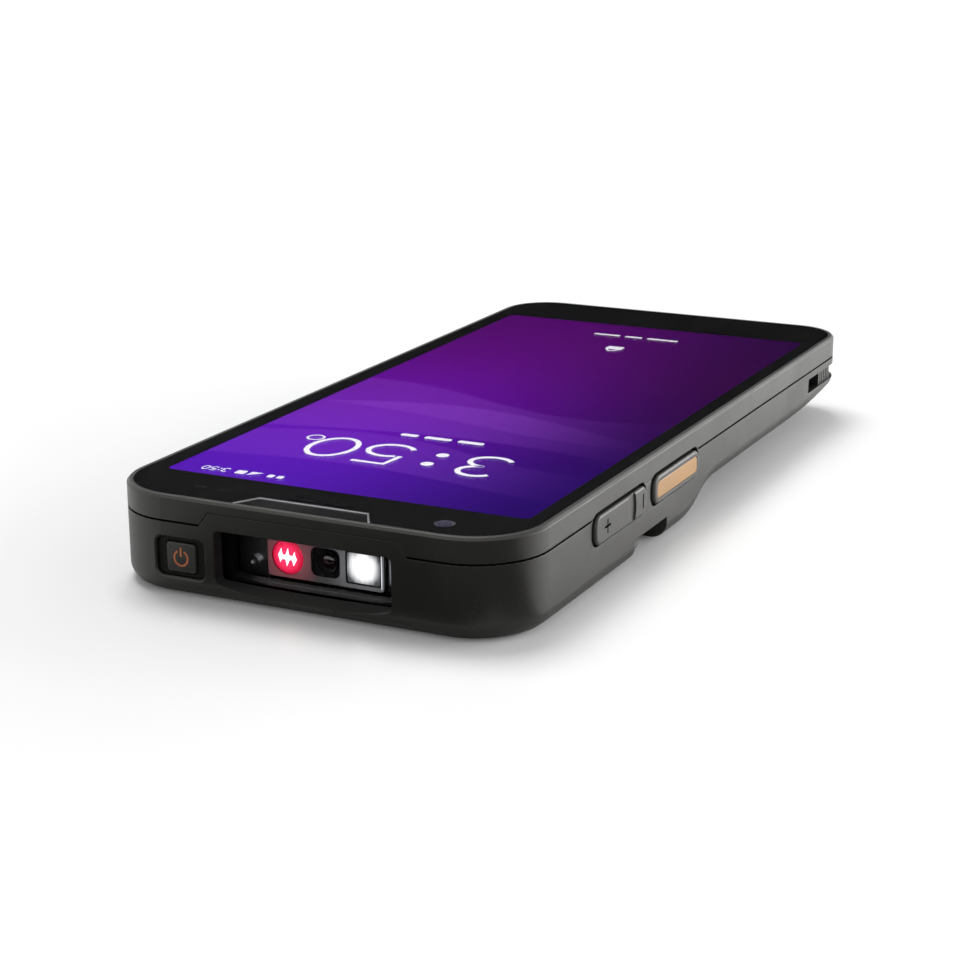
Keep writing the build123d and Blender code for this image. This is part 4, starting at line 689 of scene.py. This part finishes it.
make_plate("status_signs", small_clock + signs, *sign_level, slot="display", material=pixels)
print("clock and", len(signs), "signs drawn")

# %% [markdown]
# ## The plate over the earpiece
#
# A small trapezoid plate is let into the glass at the scan head's end. Products carry a name there, and
# this one is left bare. On the solid it is one block. Here it becomes a dark panel with soft edges, and a
# bright wire-thin trim along its three free sides that catches the light.

# %% Build the earpiece plate and its trim
plate_low, plate_high = (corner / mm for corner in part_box("earpiece_plate"))
plate_slant, panel_drop, trim_width, trim_bite = 2.65, 0.14, 0.36, 0.02
head_half, screen_half = plate_high.x, plate_high.x - plate_slant
panel_outline = [(-screen_half, plate_low.y), (screen_half, plate_low.y), (head_half, plate_high.y),
                 (-head_half, plate_high.y)]
plate_gloss = make_finish("plate_gloss", (0.011, 0.011, 0.012), 0.16, grain=9000, depth=0.05, wear_and_highlight=0.1,
                          dust=0.1)
panel = make_plate("earpiece_panel", [panel_outline], plate_low.z, plate_high.z - panel_drop,
                   slot="frame_plastic", material=plate_gloss, soften=0.06)
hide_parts("earpiece_plate")
trim_line = [(-head_half + 0.3, plate_high.y), (-screen_half + 0.1, plate_low.y + 0.22),
             (screen_half - 0.1, plate_low.y + 0.22), (head_half - 0.3, plate_high.y)]
trim_silver = make_finish("trim_silver", (0.33, 0.33, 0.35), 0.3, grain=9000, depth=0.1, metallic=0.9)
make_plate("earpiece_trim", stroke(trim_line, trim_width), plate_high.z - panel_drop - trim_bite,
           plate_high.z - 0.01, slot="steel", material=trim_silver, soften=0.05)
print("plate", round(2 * head_half, 1), "mm wide")

# %% [markdown]
# ## Front camera and sensor windows
#
# Through its hole in the print the camera shows a ring with a painted violet glint and a small domed lens
# with a violet coating, whose edge carries a painted sheen.
# A dome is a profile turned about an axis, so a helper spins a few points round. The sensors look through
# ovals of a print that only lets infra-red pass, which look dark brown.

# %% Turn the small lenses
def make_turned(name, profile, centre, axis="Z", hollow=False, slot=None, material=None, steps=40):
    """A round piece: (radius, level) points in mm turned about an axis. A hollow one is a closed ring."""
    shape = bmesh.new()
    spokes = [(math.cos(2 * math.pi * step / steps), math.sin(2 * math.pi * step / steps))
              for step in range(steps)]
    rings = [[shape.verts.new(lay(axis, centre[0] + radius * along, centre[1] + radius * across, level))
              for along, across in spokes] for radius, level in profile]
    for lower, upper in zip(rings, rings[1:] + rings[:1] if hollow else rings[1:]):
        for step in range(steps):
            after = (step + 1) % steps
            shape.faces.new((lower[step], lower[after], upper[after], upper[step]))
    for ring in () if hollow else (rings[0], rings[-1]):
        shape.faces.new(ring)
    bmesh.ops.recalc_face_normals(shape, faces=shape.faces[:])
    return finish_piece(name, shape, slot=slot, material=material)


def dome(radius, foot, rise, steps=7, rim=0.02):
    """The profile of a shallow lens that stands on a level."""
    turns = [math.pi / 2 * step / steps for step in range(steps + 1)]
    return [(max(rim, radius * math.cos(turn)), foot + rise * math.sin(turn)) for turn in turns]


def make_coating(name, colour, grazing_sheen_colour, roughness=0.06):
    """A coated dark lens, whose colour brightens towards its edge as the view slants: the coating's tint with
    a painted sheen.
    """
    material, tree, shader = new_material(name)
    slant = add_node(tree, "LayerWeight", {"Blend": 0.4}).outputs["Facing"]
    # Towards the edge the colour brightens: a painted sheen over the coating's tint.
    shifted = blend_colours(tree, slant, (*colour, 1), (*grazing_sheen_colour, 1))
    smears = add_node(tree, "TexNoise", {"Vector": object_place(tree), "Scale": 900.0, "Detail": 3.0})
    smeared = calculate(tree, "MULTIPLY_ADD", smears.outputs["Fac"], 0.08, roughness)
    fill(tree, shader, {"Base Color": shifted, "Roughness": smeared, "Coat Weight": 1.0,
                        "Coat Roughness": 0.03, "IOR": 1.7})
    return material


violet_coating = make_coating("violet_coating", (0.012, 0.008, 0.03), (0.1, 0.06, 0.17))
lens_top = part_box("front_lens")[1].z / mm
front_dome = make_turned("front_camera_lens", [(1.62, lens_top - 0.9), *dome(1.62, lens_top - 0.35, 0.33)],
                         camera_spot, slot="lens_glass", material=violet_coating)
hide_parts("front_lens")
ring_profile = [(1.64, lens_top - 0.3), (1.64, border_level - 0.02), (1.5, border_level - 0.02),
                (1.15, lens_top + 0.02), (1.1, lens_top - 0.3)]
# The ring's violet-grey colour is a painted glint.
make_turned("front_camera_ring", ring_profile, camera_spot, hollow=True, slot="black_plastic",
            material=make_finish("violet_ring_painted_glint", (0.12, 0.1, 0.2), 0.35, grain=9000))
infra_print = make_finish("infra_red_print", (0.02, 0.012, 0.014), 0.25, grain=9000, depth=0.05, dust=0.0)
make_plate("sensor_windows", sensor_holes, border_level, border_level + 0.01, slot="black_glass",
           material=infra_print)
print("front camera at", camera_spot, "and", len(sensor_holes), "small windows")

# %% [markdown]
# ## The scan engine's face
#
# Behind the window sits the scan engine. Its red aimer projects a pattern, which the lens itself shows as
# a white-hot shape: three upright flares joined by a bar. Next to it is the camera that reads the code, a
# deep black barrel with a dark red dome. The illumination light is square, and white in the middle.

# %% Draw the aimer's flares
def flare(x, z, width, height):
    """A pointed upright shape, wide in its middle."""
    lean = 0.12 * width
    return [(x - lean, z + height / 2), (x + width * 0.2, z + height * 0.2),
            (x + width / 2, z + height * 0.02), (x + width * 0.3, z - height * 0.22),
            (x + lean, z - height / 2), (x - width * 0.28, z - height * 0.2),
            (x - width / 2, z - height * 0.03), (x - width * 0.22, z + height * 0.2)]


hot, tree, shader = new_material("white_hot")
heat = distance_from(tree, aimer_middle, (1, 0, 1))
cooling = blend_colours(tree, step_between(tree, heat, 0.9, 2.6), (1, 0.93, 0.93, 1), (1, 0.42, 0.5, 1))
fill(tree, shader, {"Emission Color": cooling, "Emission Strength": 2.2})
aimer_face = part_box("aimer_lens")[1].y / mm
ax, az = aimer_middle.x, aimer_middle.z
flares = [flare(ax + 1.25, az + 0.2, 1.0, 2.5), flare(ax, az, 1.05, 3.1),
          flare(ax - 1.25, az - 0.15, 1.0, 2.5)]
bar = rounded_box((ax - 1.5, az - 0.42), (ax + 1.5, az + 0.3), 0.3)
for name, outlines, foot, face in (("aimer_flares", flares, 0.01, 0.04), ("aimer_bar", [bar], 0.045, 0.07)):
    make_plate(name, outlines, aimer_face + foot, aimer_face + face, axis="Y", slot="red_lens", material=hot)
print("aimer pattern at", round(ax, 2), round(az, 2))

# %% [markdown]
# The barrel is three thin steps that go down to the lens, as in a real threaded mount. Steps like these
# catch thin crescents of light, which is what makes a lens look deep.

# %% Build the reading camera's barrel
imager = middle_of("imager_lens")
imager_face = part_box("imager_lens")[1].y / mm
red_coating = make_coating("red_coating", (0.02, 0.002, 0.004), (0.12, 0.02, 0.03))
dome_profile = [(1.25, imager_face - 1.6), *dome(1.25, imager_face - 0.7, 0.5)]
imager_dome = make_turned("imager_dome", dome_profile, (imager.x, imager.z), axis="Y", slot="lens_glass",
                          material=red_coating)
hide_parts("imager_lens")
barrel_steps = ((2.0, 1.8), (2.0, 0), (1.85, 0), (1.8, 0.25), (1.6, 0.28), (1.55, 0.5), (1.4, 0.52),
                (1.32, 0.8), (1.26, 1.6), (1.26, 1.8))  # radius, and how far behind the face
barrel_profile = [(radius, imager_face - depth) for radius, depth in barrel_steps]
make_turned("imager_barrel", barrel_profile, (imager.x, imager.z), axis="Y", hollow=True,
            slot="black_plastic")
print("imager barrel", round(imager_face, 2), "mm forward")

# %% [markdown]
# A thin glowing strip at the end of the light is a painted highlight along the window's edge, and a thin
# gasket frames the square light.

# %% Frame the light
light_low, light_high = (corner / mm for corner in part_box("illumination_lens"))
gasket = [rounded_box((light_low.x - past, light_low.z - past), (light_high.x + past, light_high.z + past),
                      corner) for past, corner in ((0.02, 0.5), (-0.25, 0.4))]
make_plate("light_gasket", gasket, light_high.y + 0.01, light_high.y + 0.2, axis="Y", slot="black_plastic",
           soften=0.05)
# Painted highlight: a thin glowing strip where the window's edge catches light.
painted_edge_highlight = make_glow("painted_edge_highlight", Vector((-11.2, 77, 6.8)), (0.9, 0.93, 1.0), (0.25, 0.26, 0.28),
                      (1.0, 4.2), 1.1, stretch=(0.2, 0, 1))
make_plate("window_edge_painted_highlight", [rounded_box((-11.3, 3.9), (-11.16, 10.0), 0.06)], 75.2, 75.3, axis="Y",
           slot="white_lens", material=painted_edge_highlight)
print("light", round(light_high.x - light_low.x, 2), "mm wide")

# %% [markdown]
# ## Marks on the keys
#
# The power sign is printed on its key in copper paint: a ring open at the top and a bar. The plus and the
# minus are sunk into the volume key on the solid, and a flat black is added at the bottom of each recess. A
# layer this thin is a plate of a few hundredths of a millimetre.

# %% Print the power sign
power_low, power_high = (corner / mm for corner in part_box("power_button"))
px, pz = (power_low.x + power_high.x) / 2, (power_low.z + power_high.z) / 2
copper_paint = make_finish("copper_paint", (0.55, 0.16, 0.055), 0.4, grain=7000, depth=0.3, dust=0.1)
sign_radius, sign_width = 1.28, 0.36
power_ring = stroke(arc((px, pz - 0.1), (sign_radius, sign_radius), 118, 422, 30), sign_width)
power_bar = rounded_box((px - sign_width / 2, pz + 0.15), (px + sign_width / 2, pz + 1.75), 0.15)
make_plate("power_sign", [*power_ring, power_bar], power_high.y - 0.005, power_high.y + 0.03, axis="Y",
           body="power_button", material=copper_paint)
print("power sign at", round(px, 2), round(pz, 2))

# %% Fill the plus and the minus
# This flat black fills the sunk marks, and further down it paints the shade in the parting groove.
black_fill_and_shade = make_finish("black_fill_and_shade", (0.002, 0.002, 0.002), 0.7, wear_and_highlight=0.0, dust=0.0, gloss=0.0)
rocker_low, rocker_high = (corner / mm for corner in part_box("volume_rocker"))
mark_z = (rocker_low.z + rocker_high.z) / 2
plus_y, minus_y = rocker_high.y - 4.7, rocker_low.y + 1.9
arm, half = 1.28, 0.21
plus, quarter = [], [(-half, -arm), (half, -arm), (half, -half)]
for _ in range(4):
    plus += [(plus_y + along, mark_z + rise) for along, rise in quarter]
    quarter = [(-rise, along) for along, rise in quarter]
minus = [(minus_y + along, mark_z + rise)
         for along, rise in ((-half, -arm), (half, -arm), (half, arm), (-half, arm))]
make_plate("volume_marks", [plus, minus], rocker_low.x + 0.03, rocker_low.x + 0.13, axis="X",
           body="volume_rocker", material=black_fill_and_shade)
print("plus at", round(plus_y, 2), "and minus at", round(minus_y, 2))

# %% [markdown]
# ## The seal and its painted shade between the two halves
#
# The frame and the housing meet in a fine groove, and a black sealing cord lies in it. Its flat black, with
# no gloss, also stands for the shade in the groove: painted shade. It shows as a dark line round the body,
# broken by the key pockets. The line is drawn as three open paths just inside the body's outline, and each
# gets a width. Over the scan window the housing rises into the frame as a tab, and a thinner black run in the
# gap round that tab is painted shade only.

# %% Lay the sealing cord and its painted shade
body_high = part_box("rear_housing")[1] / mm
half_x, half_y = body_high.x, body_high.y
split_level, seal_shade_inset, seal_shade_width, seal_shade_half_height = 12.7, 0.085, 0.14, 0.19
head_radius, tail_radius = 12.5, 10.0
pocket_lap = 0.3  # how far the cord reaches into a key's pocket
tab_middle, tab_half, tab_slant = (window_low.x + window_high.x) / 2, 19.05, 1.85
tab_gap, tab_shade_width, frame_over_tab = 0.1, 0.08, 1.9


def side_point(side, y):
    """A point of the seal line and its painted shade on a long side; side is 1 or -1."""
    return (side * (half_x - seal_shade_inset), y)


def corner_points(side, end):
    """The seal line's points round a corner of the body, from the long side to the end."""
    radius = head_radius if end > 0 else tail_radius
    centre = (side * (half_x - radius), end * (half_y - radius))
    start = 0 if side > 0 else 180
    turn = 90 * side * end
    return arc(centre, (radius - seal_shade_inset,) * 2, start, start + turn, 12)


pocket_ends = {}
for side, word in ((-1, "left"), (1, "right")):
    seal_low, seal_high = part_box(f"{word}_key_seal")
    pocket_ends[side] = (seal_low.y / mm + pocket_lap, seal_high.y / mm - pocket_lap)
seal_shade_paths = [[side_point(side, pocket_ends[side][1]), *corner_points(side, 1),
               (tab_middle + side * tab_half, half_y - seal_shade_inset)] for side in (-1, 1)]
seal_shade_paths.append([side_point(-1, pocket_ends[-1][0]), *corner_points(-1, -1), *corner_points(1, -1)[::-1],
                   side_point(1, pocket_ends[1][0])])
seal_shade_outlines = [outline for path in seal_shade_paths for outline in stroke(path, seal_shade_width)]
# The parting line: a seal whose flat black also paints the groove's shade.
make_plate("parting_seal_and_shade", seal_shade_outlines, split_level - seal_shade_half_height, split_level + seal_shade_half_height,
           slot="seal_rubber", material=black_fill_and_shade)
tab_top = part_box("front_frame")[1].z / mm - frame_over_tab - tab_gap / 2
tab_foot_half = tab_half - tab_gap / 2
tab_top_half = tab_foot_half - tab_slant
tab_path = [(tab_middle - tab_foot_half, split_level), (tab_middle - tab_top_half, tab_top),
            (tab_middle + tab_top_half, tab_top), (tab_middle + tab_foot_half, split_level)]
# Painted shade in the gap round the tab.
make_plate("tab_gap_painted_shade", stroke(tab_path, tab_shade_width), half_y - 0.3, half_y - 0.03, axis="Y",
           slot="seal_rubber", material=black_fill_and_shade)
print("the cord has", len(seal_shade_outlines), "runs")

# %% [markdown]
# ## Small parts seen from behind and below
#
# Seen from other sides, the charging port needs its row of gold contacts, which are thin plates on the
# port's tongue. Behind the round pane in the underside, the rear camera gets a metal ring and a domed lens.

# %% Fit the charging contacts and the rear camera
port_low, port_high = (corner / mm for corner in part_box("usb_port"))
tongue_top = (port_low.z + port_high.z) / 2 + 0.35
pads = [rounded_box((x - 0.12, port_low.y + 0.9), (x + 0.12, port_low.y + 4.2), 0.05, 2)
        for x in (0.5 * step - 2.25 for step in range(10))]
make_plate("port_contacts", pads, tongue_top, tongue_top + 0.03, slot="gold")
rear_camera, rear_face = middle_of("rear_camera"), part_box("rear_camera")[0].z / mm
pane_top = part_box("rear_camera_window")[1].z / mm
mount = [(3.3, pane_top + 0.01), (3.3, rear_face - 0.01), (2.1, rear_face - 0.01), (2.1, pane_top + 0.05),
         (2.5, pane_top + 0.01)]
make_turned("rear_camera_mount", mount, rear_camera, hollow=True, slot="black_plastic",
            material=finishes["magnesium"])
make_turned("rear_camera_lens", dome(2.05, rear_face - 0.01, -0.07), rear_camera, slot="lens_glass",
            material=violet_coating)
print(len(pads), "gold contacts on the tongue; the rear camera is", round(rear_face, 2), "mm up")

# %% [markdown]
# ## The studio
#
# The terminal stands on a white table that is a little glossy, so a weak mirror image lies under it. The
# table and the surroundings are plain white where the camera looks at them, and light the object at an
# even, plain level. Shadows stay, because the table is white by its own colour. Only far off, where the
# lamps no longer reach, it also glows a little for the camera.

# %% Lay the table and light the surroundings
def stage_sheet(name, corners, material):
    """A flat sheet that belongs to the studio and not to the object."""
    mesh = bpy.data.meshes.new(name)
    mesh.from_pydata([Vector(corner) for corner in corners], [], [tuple(range(len(corners)))])
    sheet = bpy.data.objects.new(name, mesh)
    scene.collection.objects.link(sheet)
    mesh.materials.append(material)
    return sheet


def seen_straight(tree, rays):
    """1 for rays that come from the camera, straight or through glass."""
    return calculate(tree, "MAXIMUM", rays["Is Camera Ray"], rays["Is Transmission Ray"])


table_white, tree, shader = new_material("white_table")
away = add_node(tree, "VectorMath", {0: object_place(tree)}, operation="LENGTH").outputs["Value"]
glow = calculate(tree, "MULTIPLY_ADD", step_between(tree, away, 0.5, 1.4), 0.5, 0.05)
glow = calculate(tree, "MULTIPLY", seen_straight(tree, add_node(tree, "LightPath").outputs), glow)
fill(tree, shader, {"Base Color": (0.97, 0.97, 0.97, 1), "Roughness": 0.25, "Specular IOR Level": 0.06,
                    "Emission Color": (1, 1, 1, 1), "Emission Strength": glow})
stage_sheet("table", [(-4, -4, 0), (4, -4, 0), (4, 4, 0), (-4, 4, 0)], table_white)

world = bpy.data.worlds.new("white_surroundings")
scene.world = world
world.use_nodes = True
tree = world.node_tree
rays = add_node(tree, "LightPath").outputs
seen = calculate(tree, "MAXIMUM", seen_straight(tree, rays), rays["Is Glossy Ray"])
fill(tree, tree.nodes["Background"], {"Strength": calculate(tree, "MULTIPLY_ADD", seen, 0.58, 0.42),
                                      "Color": (1, 1, 1, 1)})
print("table and surroundings in place")

# %% [markdown]
# ## Lamps and black cards
#
# Two soft lamps give the shapes a direction: a large one overhead, and a near one low beside the keys,
# which runs along the side as a soft gradient. Photographers also hang black cards where a glossy face
# would mirror something bright. One stands far behind the terminal and keeps the glass deep black, and
# one lies before the scan head, so that its face stays dark. Cards are seen only in reflections, and only
# from one side.

# %% Hang the lamps and the cards
def soft_lamp(name, place_at, size, brightness):
    """A rectangular lamp that looks at the terminal. Brightness is its own radiance."""
    data = bpy.data.lights.new(name, "AREA")
    data.shape = "RECTANGLE"
    data.size, data.size_y = size
    data.energy = brightness * 4 * size[0] * size[1]
    lamp = bpy.data.objects.new(name, data)
    scene.collection.objects.link(lamp)
    lamp.location = place_at
    lamp.rotation_euler = (Vector((0, 0, 0.01)) - lamp.location).to_track_quat("-Z", "Y").to_euler()


soft_lamp("overhead_lamp", (0.5, -0.45, 1.3), (0.8, 0.8), 5.4)
soft_lamp("side_lamp", (-0.57, -0.54, 0.17), (0.8, 0.3), 5.7)

card_black, tree, shader = new_material("black_card")
fill(tree, shader, {"Base Color": (0.004, 0.004, 0.004, 1), "Specular IOR Level": 0.0})
from_behind = add_node(tree, "NewGeometry").outputs["Backfacing"]
one_sided = add_node(tree, "MixShader", {0: from_behind, 1: shader.outputs[0],
                                         2: add_node(tree, "BsdfTransparent").outputs[0]})
fill(tree, tree.nodes["Material Output"], {"Surface": one_sided.outputs[0]})


def black_card(name, corners):
    """A card that only reflections see, from the side where its corners run anticlockwise."""
    card = stage_sheet(name, corners, card_black)
    card.visible_camera = card.visible_diffuse = card.visible_shadow = False


heading = Vector((-back.x, -back.y, 0)).normalized()
foot, half_card = heading * 1.3, Vector((heading.y, -heading.x, 0)) * 0.42
low_edge, top_edge = Vector((0, 0, 0.16)), Vector((0, 0, 0.64))
black_card("far_card", [foot - half_card + low_edge, foot + half_card + low_edge,
                        foot + half_card + top_edge, foot - half_card + top_edge])
front_edge = [(-0.12, 0.09), (-0.06, 0.07), (-0.0405, 0.07), (-0.0405, 0.086), (0.03, 0.086), (0.085, 0.2),
              (-0.12, 0.2)]
black_card("front_card", [(x, y, 0.0015) for x, y in front_edge])
print("two lamps and two cards")

# %% [markdown]
# ## Finish
#
# The colours are shown with the standard view transform.

# %% Set the view transform
scene.view_settings.view_transform = "Standard"
